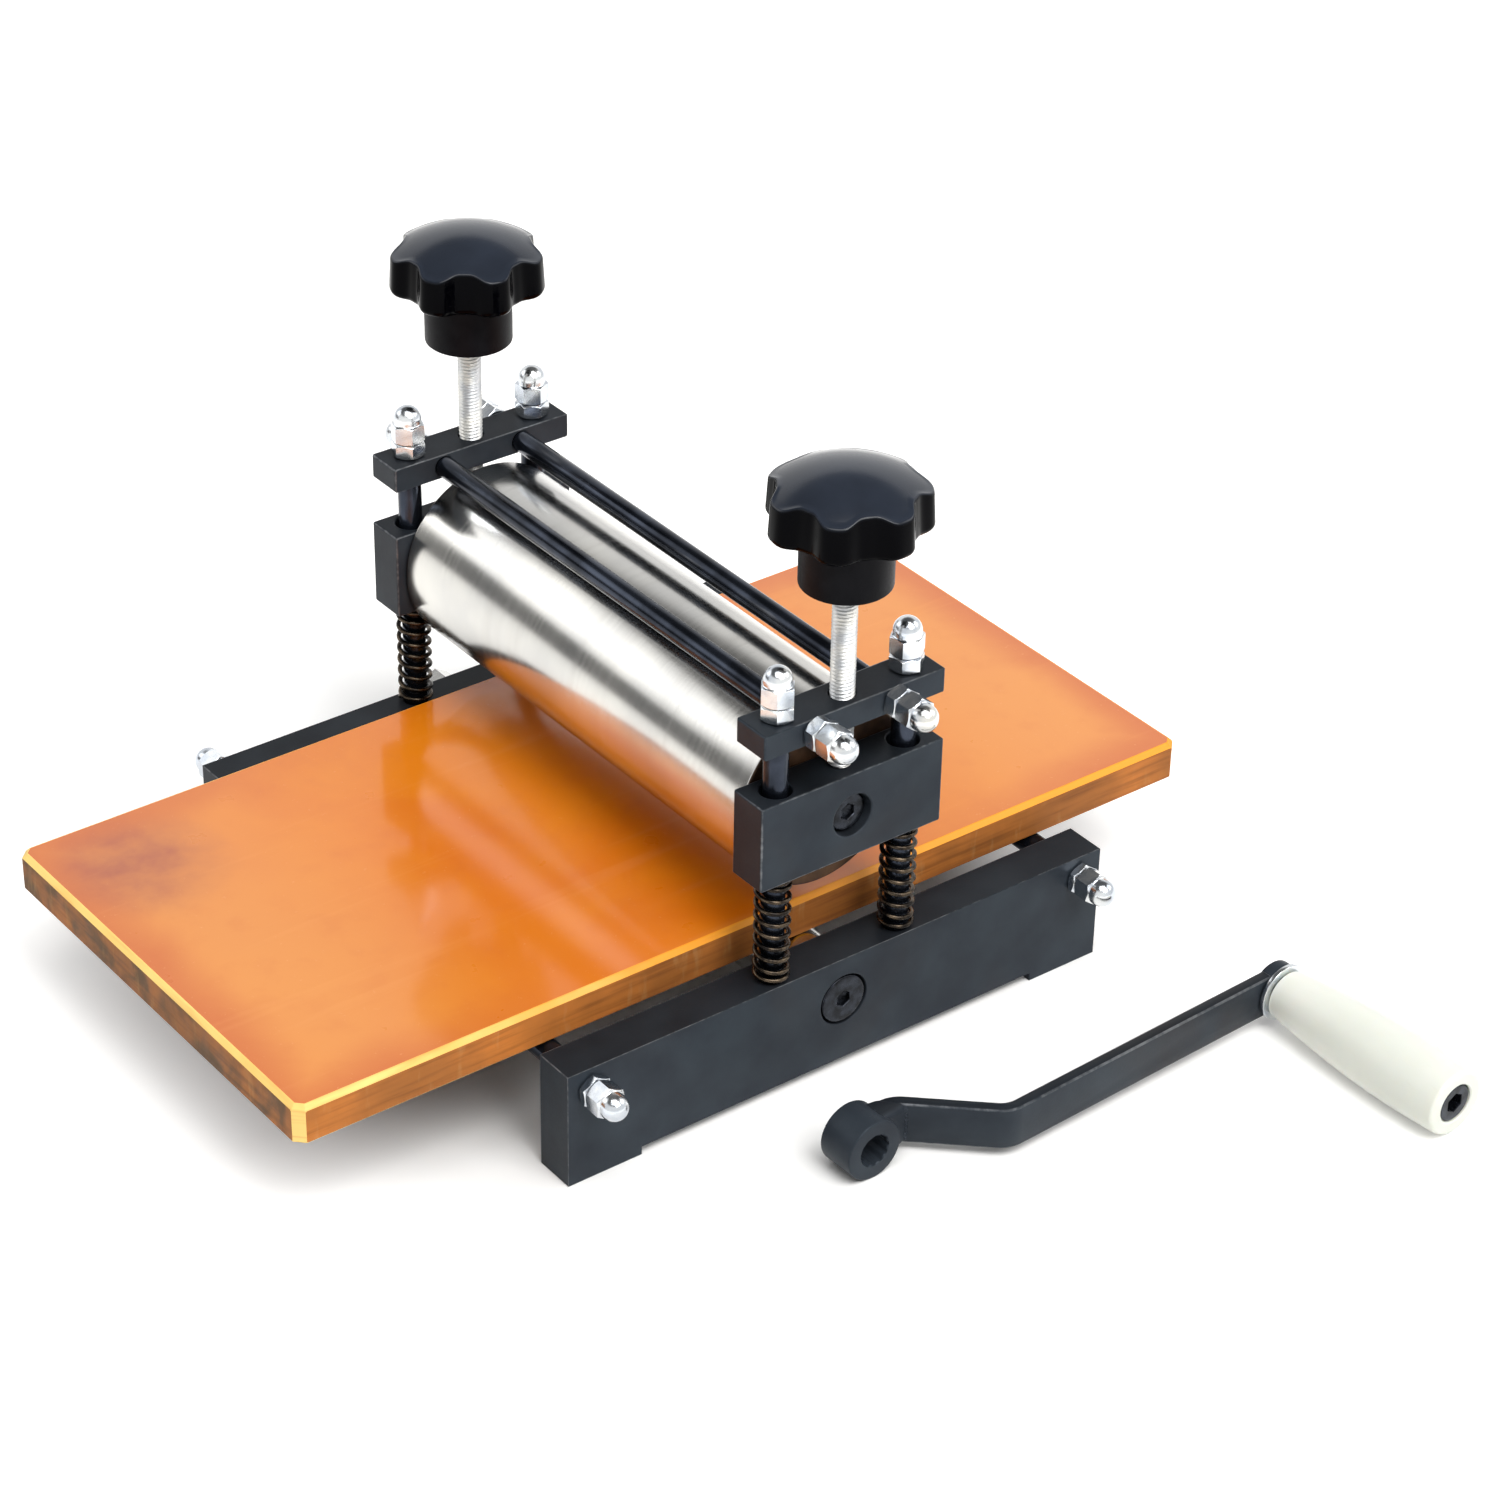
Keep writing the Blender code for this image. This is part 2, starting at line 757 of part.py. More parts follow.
def skirt_top(turn):
    """The skirt's outline and height part of the way round its upper edge, which follows the dome."""
    top = lobed(knob_upper_round)
    drop = knob_upper_round * (1 - math.sin(turn))
    inset = knob_upper_round * (1 - math.cos(turn))
    return lobed(inset), lambda angle: dome_height(top(angle)) - drop


def knob_mesh(material):
    """A moulded knob: a bored hub, a hollow under the lobed skirt, and a round dome cut off by the lobes."""
    roof_z = knob_hub_height + knob_recess
    quarter = math.pi / 2
    shapes = [
        (screw_bore, knob_bore_depth),
        (screw_bore, 0),
        (knob_hub_radius, 0),
        (knob_hub_radius, roof_z),
        (lobed(knob_wall), roof_z),
        (lobed(knob_wall), knob_hub_height),
    ]
    shapes += [skirt_foot(share * quarter) for share in knob_edge_shares]
    shapes += [skirt_top(share * quarter) for share in knob_edge_shares]
    for share in knob_dome_shares:
        shapes.append((share * knob_radius, dome_height(share * knob_radius)))
    rings = [section(radius, height, knob_columns) for radius, height in shapes]
    rings.insert(0, [(0, 0, knob_bore_depth)])
    rings.append([(0, 0, dome_height(0))])
    return mesh_of(lofted(rings), "knob", material)


def make_knobs(material):
    mesh = knob_mesh(material)
    for side, sign in sides.items():
        z = screw_top_z - knob_engaged[side]
        place(mesh, side + "_knob", (0, sign * post_y, z), (0, 0, knob_turn[side]))


# Crank


def arm_outline():
    """The cranked strip from above: it runs out of the hub, steps sideways, then runs to the eye."""
    step_run = arm_offset / math.tan(arm_bend)
    corner_run = arm_bend_radius * math.tan(arm_bend / 2)
    far_y = arm_root_depth - arm_offset
    heading = Vector((math.cos(arm_bend), -math.sin(arm_bend)))
    first = Vector((arm_root_length, arm_root_depth))
    second = Vector((arm_root_length + step_run, far_y))
    line = [(Vector((0, arm_root_depth)), Vector((0, 1)))]
    first_centre = first + Vector((-corner_run, -arm_bend_radius))
    second_start = second - heading * corner_run
    second_normal = Vector((math.sin(arm_bend), math.cos(arm_bend)))
    second_centre = second_start + second_normal * arm_bend_radius
    for step in range(arm_bend_steps + 1):
        angle = arm_bend * step / arm_bend_steps
        normal = Vector((math.sin(angle), math.cos(angle)))
        line.append((first_centre + normal * arm_bend_radius, normal))
    for step in range(arm_bend_steps + 1):
        angle = arm_bend * (1 - step / arm_bend_steps)
        normal = Vector((math.sin(angle), math.cos(angle)))
        line.append((second_centre - normal * arm_bend_radius, normal))
    line.append((Vector((crank_throw - eye_radius / 2, far_y)), Vector((0, 1))))
    half = arm_thickness / 2
    inner = [point + normal * half for point, normal in line]
    outer = [point - normal * half for point, normal in reversed(line)]
    return [(point.x, point.y, -arm_height / 2) for point in inner + outer]


def neck_mesh(material):
    """The neck from the hub to the arm's step. From the side it narrows on two lines that touch the hub."""
    end_x = arm_root_length + neck_reach * math.cos(arm_bend)
    end_y = arm_root_depth - neck_reach * math.sin(arm_bend)
    back_x = arm_root_length - arm_bend_radius * math.tan(arm_bend / 2)
    back_y = arm_root_depth + arm_thickness / 2 + hub_edge
    outline = [(0, neck_setback), (end_x, end_y), (back_x, back_y), (0, back_y)]
    start = hub_radius - hub_edge
    end = arm_height / 2 - arm_edge
    touch = math.atan2(end, end_x) + math.acos(start / math.hypot(end_x, end))

    def half_height(x):
        return (start - x * math.cos(touch)) / math.sin(touch)

    rings = [[(x, y, side * half_height(x)) for x, y in outline] for side in (-1, 1)]
    bm = lofted(rings)
    bmesh.ops.holes_fill(bm, edges=bm.edges)
    return mesh_of(bm, "neck", material)


def cylinder(radius, start, length, columns, name, material):
    """A round helper along the crank frame's Y."""
    turn = Matrix.Rotation(math.pi / 2, 4, "X")
    bm = bmesh.new()
    bmesh.ops.create_cone(
        bm,
        cap_ends=True,
        segments=columns,
        radius1=radius,
        radius2=radius,
        depth=length,
        matrix=Matrix.Translation(start) @ turn,
    )
    return place(mesh_of(bm, name, material), name)


def make_crank_arm(material, eye_front):
    """A flat bar with a necked hub, which has a twelve-point socket, and with a bored eye at its end."""
    mesh = mesh_of(extruded(arm_outline(), (0, 0, arm_height)), "crank_arm", material)
    arm = place(mesh, mesh.name, frame=crank_frame)
    break_edges(arm, arm_edge)

    eye_depth = arm_thickness + 2 * eye_boss
    eye_middle = (crank_throw, eye_front + eye_depth / 2, 0)
    boolean(arm, cylinder(eye_radius, eye_middle, eye_depth, grip_sides, "eye", material), "UNION")
    hole = cylinder(bolt_bore, eye_middle, eye_depth + 2 * cut_overrun, rod_sides, "eye bore", material)
    boolean(arm, hole, "DIFFERENCE")

    rounds = lower_roller_sides
    shapes = [
        (hub_radius - hub_edge, 0),
        (hub_radius, hub_edge),
        (hub_radius, hub_length - hub_edge),
        (hub_radius - hub_edge, hub_length),
    ]
    rings = [section(radius, height, rounds) for radius, height in shapes]
    rings.insert(0, [(0, 0, 0)])
    rings.append([(0, 0, hub_length)])
    hub = mesh_of(lofted(rings), "hub", material)
    boolean(arm, place(hub, hub.name, turn=outward["far"]), "UNION")
    neck = neck_mesh(material)
    boolean(arm, place(neck, neck.name), "UNION")

    flats = stub_flats + 2 * socket_clearance
    one = hexagon(flats)
    other = hexagon(flats, math.tau / 12)

    def star(angle):
        return max(one(angle), other(angle))

    rings = [section(star, height, rounds) for height in (-cut_overrun, hub_length + cut_overrun)]
    rings.insert(0, [(0, 0, -cut_overrun)])
    rings.append([(0, 0, hub_length + cut_overrun)])
    socket = mesh_of(lofted(rings), "socket", material)
    boolean(arm, place(socket, socket.name, turn=outward["far"]), "DIFFERENCE")


def grip_profile():
    """The grip's outline, swelling from its washer to its thickest place and closing a little after it."""
    sink = bolt_head_height + bolt_head_recess + touch_gap
    head_bore = bolt_head_radius + touch_gap
    profile = [(bolt_bore, 0), (grip_base_radius, 0)]
    straight = grip_length - grip_round
    for step in range(1, grip_steps + 1):
        share = step / grip_steps
        if share < grip_swell_share:
            swell = math.sin(math.pi / 2 * share / grip_swell_share)
            radius = grip_base_radius + (grip_radius - grip_base_radius) * swell
        else:
            fall = (share - grip_swell_share) / (1 - grip_swell_share)
            radius = grip_radius - (grip_radius - grip_end_radius) * fall * fall
        profile.append((radius, straight * share))
    profile.append((grip_end_radius - grip_round, grip_length))
    profile += [(head_bore, grip_length), (head_bore, grip_length - sink), (bolt_bore, grip_length - sink)]
    return profile


def make_grip(eye_front, grip_material, washer_material, bolt_material):
    """The grip, its washer and the bolt screwed through the eye, all on the grip's own axis."""
    eye_back = eye_front + arm_thickness + 2 * eye_boss
    washer_y = eye_front - touch_gap
    grip_y = washer_y - washer_thickness - touch_gap
    head_y = grip_y - grip_length + bolt_head_recess + bolt_head_height
    shank = eye_back + bolt_end - head_y

    washer = bush_mesh("grip_washer", bolt_bore, washer_radius, washer_thickness, washer_material)
    place(washer, washer.name, (crank_throw, washer_y, 0), outward["near"], crank_frame)
    grip = mesh_of(turned(grip_profile(), grip_sides, ring=True), "crank_grip", grip_material)
    place(grip, grip.name, (crank_throw, grip_y, 0), outward["near"], crank_frame)
    sizes = (bolt_head_radius, bolt_head_height, bolt_radius, shank, bolt_socket_flats, bolt_socket_depth)
    bolt = socket_screw_mesh("grip_bolt", sizes, bolt_material)
    place(bolt, bolt.name, (crank_throw, head_y, 0), outward["near"], crank_frame)


def place_crank_frame():
    """Sets the crank down so that its hub and the thickest part of its grip both touch the floor."""
    crank_frame.parent = press_frame
    crank_frame.location = (crank_slid, -plate_outer_y - crank_stand_off, hub_radius)
    crank_frame.rotation_euler = (0, -math.asin((grip_radius - hub_radius) / crank_throw), crank_heading)


def centre_on_floor():
    """Moves the whole press so that the middle of its box, at floor level, is the world's origin."""
    bpy.context.view_layer.update()
    graph = bpy.context.evaluated_depsgraph_get()
    corners = []
    for piece in bpy.context.scene.objects:
        if piece.type not in ("MESH", "CURVE") or piece.hide_render:
            continue
        shown = piece.evaluated_get(graph)
        corners += [shown.matrix_world @ vert.co for vert in shown.to_mesh().vertices]
        shown.to_mesh_clear()
    low = Vector(min(corner[axis] for corner in corners) for axis in range(3))
    high = Vector(max(corner[axis] for corner in corners) for axis in range(3))
    press_frame.location = Vector((-(low.x + high.x) / 2, -(low.y + high.y) / 2, -low.z))
    print("press frame at", [round(value, 6) for value in press_frame.location])
    print("whole size", [round(value, 6) for value in high - low])


for leftover in list(bpy.data.objects):
    bpy.data.objects.remove(leftover, do_unlink=True)

press_frame = bpy.data.objects.new("press_frame", None)
crank_frame = bpy.data.objects.new("crank_frame", None)
for empty in (press_frame, crank_frame):
    bpy.context.scene.collection.objects.link(empty)
place_crank_frame()

black_steel = finish("blackened steel", (0.040, 0.048, 0.058), 0.42, 0.6)
roller_steel = finish("ground steel", (0.62, 0.61, 0.59), 0.28, 1)
zinc_plate = finish("zinc plate", (0.70, 0.72, 0.74), 0.22, 1)
spring_steel = finish("spring steel", (0.10, 0.085, 0.065), 0.35, 0.9)
bush_steel = finish("bush steel", (0.06, 0.065, 0.07), 0.5, 0.8)
board = finish("phenolic board", (0.60, 0.17, 0.022), 0.22, 0)
black_plastic = finish("black phenolic", (0.008, 0.008, 0.010), 0.12, 0)
ivory_plastic = finish("ivory plastic", (0.80, 0.82, 0.76), 0.4, 0)

cap_nut = cap_nut_mesh(zinc_plate)
base_nut = nut_mesh("base_nut", nut_flats, base_nut_height, stud_bore, zinc_plate)
post_nut = nut_mesh("post_nut", nut_flats, post_nut_height, stud_bore, zinc_plate)

make_side_plates(black_steel)
make_base_ties(black_steel, base_nut, cap_nut)
make_posts(black_steel, post_nut, cap_nut)
make_springs(spring_steel)
make_lower_roller(roller_steel, bush_steel, black_steel)
make_bed(board)
make_upper_blocks(black_steel)
make_upper_roller(roller_steel, bush_steel, black_steel)
make_top_bars(black_steel)
make_top_ties(black_steel, post_nut, cap_nut)
make_pressure_screws(zinc_plate)
make_knobs(black_plastic)

eye_front_y = arm_root_depth - arm_offset - arm_thickness / 2 - eye_boss
make_crank_arm(black_steel, eye_front_y)
make_grip(eye_front_y, ivory_plastic, zinc_plate, black_steel)
centre_on_floor()
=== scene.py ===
import json
from math import acos, asin, atan2, cos, hypot, pi, radians, sin, sqrt, tan, tau

import bmesh
import bpy
from mathutils import Matrix, Vector, noise


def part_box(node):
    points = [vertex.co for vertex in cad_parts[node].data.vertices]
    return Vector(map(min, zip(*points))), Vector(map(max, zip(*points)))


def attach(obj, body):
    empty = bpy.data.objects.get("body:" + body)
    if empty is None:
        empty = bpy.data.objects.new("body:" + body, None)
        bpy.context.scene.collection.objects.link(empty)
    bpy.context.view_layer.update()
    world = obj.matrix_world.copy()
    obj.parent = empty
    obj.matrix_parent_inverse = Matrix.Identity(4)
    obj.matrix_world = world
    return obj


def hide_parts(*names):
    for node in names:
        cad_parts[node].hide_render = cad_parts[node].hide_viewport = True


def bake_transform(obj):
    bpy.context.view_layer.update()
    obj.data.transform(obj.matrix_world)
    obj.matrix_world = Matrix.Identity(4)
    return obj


# A small bench etching press with its crank taken off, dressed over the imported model.
# Metres, Z up. The board slides along X, the rollers lie along Y and the near side is -Y.

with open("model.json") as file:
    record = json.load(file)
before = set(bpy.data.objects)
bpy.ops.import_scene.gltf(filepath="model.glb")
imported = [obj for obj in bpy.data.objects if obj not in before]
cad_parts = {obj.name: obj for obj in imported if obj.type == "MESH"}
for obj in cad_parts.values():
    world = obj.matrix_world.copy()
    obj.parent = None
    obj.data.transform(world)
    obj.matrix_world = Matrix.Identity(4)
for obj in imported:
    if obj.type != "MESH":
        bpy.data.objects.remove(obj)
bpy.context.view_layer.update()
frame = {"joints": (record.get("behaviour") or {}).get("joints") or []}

seatGap = 0.0003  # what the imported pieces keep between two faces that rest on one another
studRadius = 0.003
studBore = studRadius + seatGap


# Node trees


class Value:  # an output socket that takes part in arithmetic, in a material or in a geometry tree
    def __init__(self, nodes, socket):
        self.nodes = nodes
        self.socket = socket

    def __getitem__(self, name):  # another output of the same node
        return Value(self.nodes, self.socket.node.outputs[name])

    def maths(self, operation, *operands):
        return self.nodes.add("ShaderNodeMath", dict(enumerate(operands)), operation=operation)

    def swing(self, amount):  # what a pattern, which stays about 0.5, adds or takes away
        return (self - 0.5) * amount

    def between(self, low, high, start=0, end=1):  # goes smoothly from start to end between low and high
        sockets = {"Value": self, "From Min": low, "From Max": high, "To Min": start, "To Max": end}
        return self.nodes.add("ShaderNodeMapRange", sockets, interpolation_type="SMOOTHSTEP")

    def mixed(self, first, second):  # a share of the second colour over the first
        return self.nodes.add("ShaderNodeMix", {0: self, 6: first, 7: second}, 2, data_type="RGBA")

    def raised(self, distance):
        return self.nodes.add("ShaderNodeBump", {"Height": self, "Distance": distance, "Strength": 1})

    def __rsub__(self, value):
        return self.maths("SUBTRACT", value, self)


operations = {
    "__add__": "ADD",
    "__radd__": "ADD",
    "__sub__": "SUBTRACT",
    "__mul__": "MULTIPLY",
    "__truediv__": "DIVIDE",
    "__mod__": "FLOORED_MODULO",
    "__pow__": "POWER",
    "__abs__": "ABSOLUTE",
    "least": "MINIMUM",
    "most": "MAXIMUM",
    "cosine": "COSINE",
    "sine": "SINE",
}
for method, operation in operations.items():
    setattr(Value, method, lambda self, *values, operation=operation: self.maths(operation, self, *values))


class Nodes:  # a node tree, filled through one method
    def __init__(self, tree):
        self.tree = tree

    def add(self, kind, sockets=(), output=0, **settings):
        node = self.tree.nodes.new(kind)
        for name, value in settings.items():
            if name == "stops":
                self.fillRamp(node.color_ramp.elements, value)
            else:
                setattr(node, name, value)
        for name, value in dict(sockets).items():
            self.feed(node.inputs[name], value)
        return Value(self, node.outputs[output] if node.outputs else None)

    def feed(self, socket, value):
        if isinstance(value, Value):
            self.tree.links.new(value.socket, socket)
        elif socket.type == "RGBA" and len(value) == 3:
            socket.default_value = (*value, 1)
        else:
            socket.default_value = value

    def fillRamp(self, elements, stops):
        while len(elements) < len(stops):
            elements.new(1)
        for element, (position, colour) in zip(elements, stops):
            element.position = position
            element.color = (*colour, 1)


def tint(red, green, blue):  # a colour as a screen shows it, made linear for a shader
    def linear(level):
        share = level / 255
        return share / 12.92 if share < 0.04045 else ((share + 0.055) / 1.055) ** 2.4

    return tuple(linear(level) for level in (red, green, blue))


def grain(nodes, scale, detail=4, stretch=(1, 1, 1), shift=(0, 0, 0), distortion=0):
    place = nodes.add("ShaderNodeTexCoord", output="Object")
    mapped = nodes.add("ShaderNodeMapping", {"Vector": place, "Location": shift, "Scale": stretch})
    sockets = {"Vector": mapped, "Scale": scale, "Detail": detail, "Distortion": distortion}
    return nodes.add("ShaderNodeTexNoise", sockets)


def coordinates(nodes):
    place = nodes.add("ShaderNodeTexCoord", output="Object")
    return nodes.add("ShaderNodeSeparateXYZ", {"Vector": place}, "X")


def attribute(nodes, name):
    return nodes.add("ShaderNodeAttribute", output="Fac", attribute_name=name)


def material(name, recipe):  # a recipe gives the sockets of the shader
    made = bpy.data.materials.new(name)
    made.use_nodes = True
    nodes = Nodes(made.node_tree)
    shader = made.node_tree.nodes["Principled BSDF"]
    for socket, value in recipe(nodes).items():
        nodes.feed(shader.inputs[socket], value)
    return made


# Materials


blackening = {
    "deep": tint(41, 46, 53),
    "pale": tint(53, 60, 67),
    "rust": tint(54, 45, 40),
    "bare": tint(150, 152, 155),
    # painted shade for the faces that face up or towards -X
    "oily": tint(14, 14, 16),
}


def edgeDistance(nodes, box):  # how far a point on a box's faces is from the box's nearest edge
    spot = coordinates(nodes)
    depths = []
    for axis, start, end in zip("XYZ", *box):
        depths.append((end - start) / 2 - abs(spot[axis] - (start + end) / 2))
    x, y, z = depths
    return x.least(y).most(x.most(y).least(z))


def blackSteel(name, box=None, rust=0.35, shift=(0, 0, 0)):
    def recipe(nodes):
        cloud = grain(nodes, 45, 5, shift=shift)
        patch = grain(nodes, 18, 4, shift=shift, distortion=0.6)
        pores = grain(nodes, 1400, 3, shift=shift)
        chips = grain(nodes, 420, 6, shift=shift)
        edge = attribute(nodes, "edge")
        if box:
            edge = edge * edgeDistance(nodes, box).between(0.0003, 0.0012, 1, 0)
        worn = (edge + chips.swing(0.9) + patch.swing(1.5)).between(0.7, 1.5)
        colour = cloud.between(0.25, 0.75).mixed(blackening["deep"], blackening["pale"])
        colour = (patch.between(0.5, 0.8) * rust).mixed(colour, blackening["rust"])
        # painted shade: faces facing up, and less so faces facing -X, are darkened in patches
        oil = attribute(nodes, "oil") * (0.55 + patch.swing(0.5))
        colour = oil.mixed(colour, blackening["oily"])
        return {
            "Base Color": (worn * 0.6).mixed(colour, blackening["bare"]),
            "Metallic": 0.2 + worn * 0.5,
            "Roughness": 0.42 + patch.swing(0.2) + pores.swing(0.12) - worn * 0.1,
            "Specular IOR Level": 0.11,
            "Normal": (pores.swing(0.4) + cloud.swing(0.8) - worn * 0.2).raised(0.00004),
        }

    return material(name, recipe)


def zinc(nodes):
    cloud, fine = grain(nodes, 130, 4), grain(nodes, 1600, 4)
    stain = grain(nodes, 50, 3, shift=(3, 1, 2))
    colour = cloud.between(0.35, 0.7).mixed(tint(198, 204, 212), tint(232, 234, 234))
    return {
        "Base Color": (stain.between(0.55, 0.8) * 0.4).mixed(colour, tint(222, 208, 176)),
        "Metallic": 1,
        "Roughness": 0.2 + fine.swing(0.12) + cloud.swing(0.12),
        "Normal": (fine * 0.3 + cloud).raised(0.00002),
    }


def groundSteel(nodes):  # turned about an axis along Y, so its marks run round it
    marks = grain(nodes, 900, 5, (0.02, 1, 0.02))
    bands = grain(nodes, 110, 4, (0.05, 1, 0.05))
    scratch = grain(nodes, 260, 2, (0.6, 0.03, 0.6), (0.3, 0.7, 0.1))
    cloud = grain(nodes, 22, 4)
    colour = cloud.between(0.35, 0.7).mixed(tint(196, 195, 192), tint(216, 214, 208))
    colour = (bands.between(0.55, 0.75) * 0.1).mixed(colour, tint(176, 170, 160))
    return {
        "Base Color": (scratch.between(0.68, 0.76) * 0.3).mixed(colour, tint(150, 148, 146)),
        "Metallic": 1,
        "Roughness": 0.19 + bands.swing(0.06) + marks.swing(0.14) + cloud.swing(0.06),
        "Normal": (marks * 0.6 + bands * 0.15).raised(0.000012),
    }


def knobGloss(nodes):
    orange, smear = grain(nodes, 260, 3), grain(nodes, 70, 4, (1, 1, 0.4))
    dome = attribute(nodes, "dome")
    return {
        # painted sheen: the base colour turns from black to bluish grey where the dome faces up
        "Base Color": (dome * (0.85 + smear.swing(0.6))).mixed(tint(1, 1, 3), tint(42, 48, 59)),
        "Roughness": 0.08 + smear.between(0.4, 0.8) * 0.08 + dome * 0.1,
        "Specular IOR Level": 0.03,
        "Coat Weight": dome * 0.95,
        "Coat Roughness": 0.18,
        "Normal": orange.raised(0.000012),
    }


def ivory(nodes):
    cloud, fine = grain(nodes, 26, 3), grain(nodes, 700, 4, (1, 0.15, 1))
    colour = cloud.between(0.2, 0.8).mixed(tint(216, 219, 209), tint(228, 229, 220))
    return {
        "Base Color": (fine.between(0.62, 0.8) * 0.25).mixed(colour, tint(206, 202, 186)),
        "Roughness": 0.3 + cloud.swing(0.08),
        "Subsurface Weight": 0.25,
        "Subsurface Radius": (0.004, 0.003, 0.002),
        "Subsurface Scale": 1,
        "Normal": fine.raised(0.00002),
    }


boardLook = {
    "deep": tint(211, 107, 4),
    "bright": tint(220, 124, 12),
    "red": tint(192, 90, 34),
    # the painted sheen at the board's two ends
    "pale": tint(219, 145, 72),
    "stain": tint(140, 62, 62),
    "dust": tint(236, 176, 120),
    "stain at": (-0.15, 0.115),
}


def boardFace(nodes):
    look = boardLook
    cloud, scratch = grain(nodes, 14, 5, distortion=0.8), grain(nodes, 160, 3, (0.06, 1, 1))
    mottle, speck = grain(nodes, 90, 5), grain(nodes, 700, 4)
    x = coordinates(nodes)
    stainX, stainY = look["stain at"]
    fromStain = ((x - stainX) ** 2 + (x["Y"] - stainY) ** 2) ** 0.5
    stain = (fromStain + cloud.swing(0.04)).between(0.004, 0.034, 1, 0)
    border = (edgeDistance(nodes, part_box("bed_board")) + cloud.swing(0.02)).between(0.001, 0.022, 1, 0)
    ends = abs(x).between(0.05, 0.15)
    colour = cloud.between(0.25, 0.75).mixed(look["deep"], look["bright"])
    # painted sheen: the board's top turns pale towards both ends
    colour = (ends * 0.7).mixed(colour, look["pale"])
    colour = (border * ends * 0.7).mixed(colour, look["red"])
    colour = (mottle.between(0.5, 0.75) * 0.12).mixed(colour, look["red"])
    colour = (speck.between(0.66, 0.78) * 0.2).mixed(colour, look["dust"])
    colour = (stain * (0.5 + mottle.swing(0.8))).mixed(colour, look["stain"])
    worn = scratch.between(0.6, 0.72)
    return {
        "Base Color": (worn * 0.06).mixed(colour, look["dust"]),
        "Roughness": 0.3 + mottle.swing(0.12) + worn * 0.1,
        "Specular IOR Level": 0.2,
        "Coat Weight": 1 - worn * 0.1,
        "Coat Roughness": 0.1,
        "Normal": (cloud * 0.6 + mottle * 0.12 + speck * 0.05).raised(0.00008),
    }


def boardCut(nodes):  # the pale chamfers, where the sawn laminate shows
    layers, cloud = grain(nodes, 700, 4, (0.05, 0.05, 1)), grain(nodes, 35, 4)
    # the chamfers are paler towards -X
    paleTowardsLeft = (coordinates(nodes) + cloud.swing(0.2)).between(-0.2, -0.02, 1, 0)
    colour = paleTowardsLeft.mixed(tint(238, 152, 20), tint(250, 212, 122))
    return {
        "Base Color": (layers.between(0.5, 0.8) * 0.4).mixed(colour, tint(206, 122, 40)),
        "Roughness": 0.5 + layers.swing(0.2),
        "Normal": layers.raised(0.00003),
    }


def boardSide(nodes):  # the sawn sides, with the laminate's layers lying flat
    layers, saw = grain(nodes, 420, 5, (0.06, 0.06, 1)), grain(nodes, 260, 4, (1, 1, 0.25))
    cloud, blotch = grain(nodes, 30, 5), grain(nodes, 75, 5, distortion=0.5)
    x = coordinates(nodes)
    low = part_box("bed_board")[0]
    colour = cloud.between(0.3, 0.7).mixed(tint(160, 100, 50), tint(204, 124, 58))
    colour = (layers.between(0.45, 0.75) * 0.55).mixed(colour, tint(96, 60, 36))
    # darker, in blotches, at the -X end
    darkerAtLeftEnd = x.between(low.x + 0.0005, low.x + 0.002, 1, 0) * blotch.between(0.35, 0.65, 0.3, 0.9)
    colour = darkerAtLeftEnd.mixed(colour, tint(84, 66, 44))
    # painted shade: the underside and the lowest strip of the sides are darkened
    under = x["Z"].between(low.z, low.z + 0.0006, 0.85, 0)
    colour = under.mixed(colour, tint(58, 44, 36))
    return {
        "Base Color": (saw.between(0.55, 0.75) * 0.2).mixed(colour, tint(206, 164, 112)),
        "Roughness": 0.46 + saw.swing(0.3),
        "Specular IOR Level": 0.08,
        "Normal": (layers + saw * 0.6).raised(0.00007),
    }


# Two tints in clouds, with fine marks that vary the gloss and can show a tint of wear. Clouds and marks
# go to grain(), the spread and the wear's own limits to between(), and wear has its share of the colour.
simpleFinishes = {
    "zincThread": {
        "clouds": (160, 4),
        "spread": (0.35, 0.7),
        "tints": (tint(198, 200, 202), tint(228, 226, 220)),
        "marks": (2200, 3),
        "wear": ((0.6, 0.75), 0.4, tint(120, 112, 98)),
        "roughness": 0.42,
    },
    "blackRod": {
        "clouds": (60, 4),
        "spread": (0.35, 0.7),
        "tints": (tint(30, 34, 42), tint(58, 64, 76)),
        "marks": (300, 4, (1, 0.08, 1)),
        "wear": ((0.62, 0.8), 0.5, tint(120, 122, 126)),
        "metallic": 0.85,
        "roughness": 0.2,
        "relief": 0.00002,
    },
    # painted reflection and shade: a dark brown for the rollers' ends, standing in for the orange board they
    # mirror
    "rollerEnds": {
        "clouds": (90, 4),
        "tints": (tint(58, 42, 32), tint(104, 76, 54)),
        "marks": (500, 4),
        "metallic": 0.7,
        "roughness": 0.46,
        "relief": 0.00001,
    },
    "springSteel": {
        "clouds": (240, 4),
        "spread": (0.35, 0.68),
        "tints": (tint(34, 31, 29), tint(92, 80, 66)),
        "marks": (1500, 3),
        "roughness": 0.26,
        "relief": 0.00002,
    },
    "bushSteel": {
        "clouds": (150, 3),
        "tints": (tint(52, 52, 54), tint(96, 94, 92)),
        "marks": (1200, 3),
        "metallic": 0.9,
        "roughness": 0.3,
        "relief": 0.00001,
    },
    "endScrewBlack": {
        "clouds": (300, 4),
        "tints": (tint(22, 24, 28), tint(52, 56, 64)),
        "marks": (1700, 3),
        "metallic": 0.8,
        "roughness": 0.24,
        "relief": 0.00001,
    },
    "mattPlastic": {
        "clouds": (120, 3),
        "tints": (tint(6, 6, 10), tint(15, 15, 19)),
        "marks": (1300, 3),
        "metallic": 0,
        "specular": 0.06,
        "roughness": 0.42,
        "relief": 0.00002,
    },
}


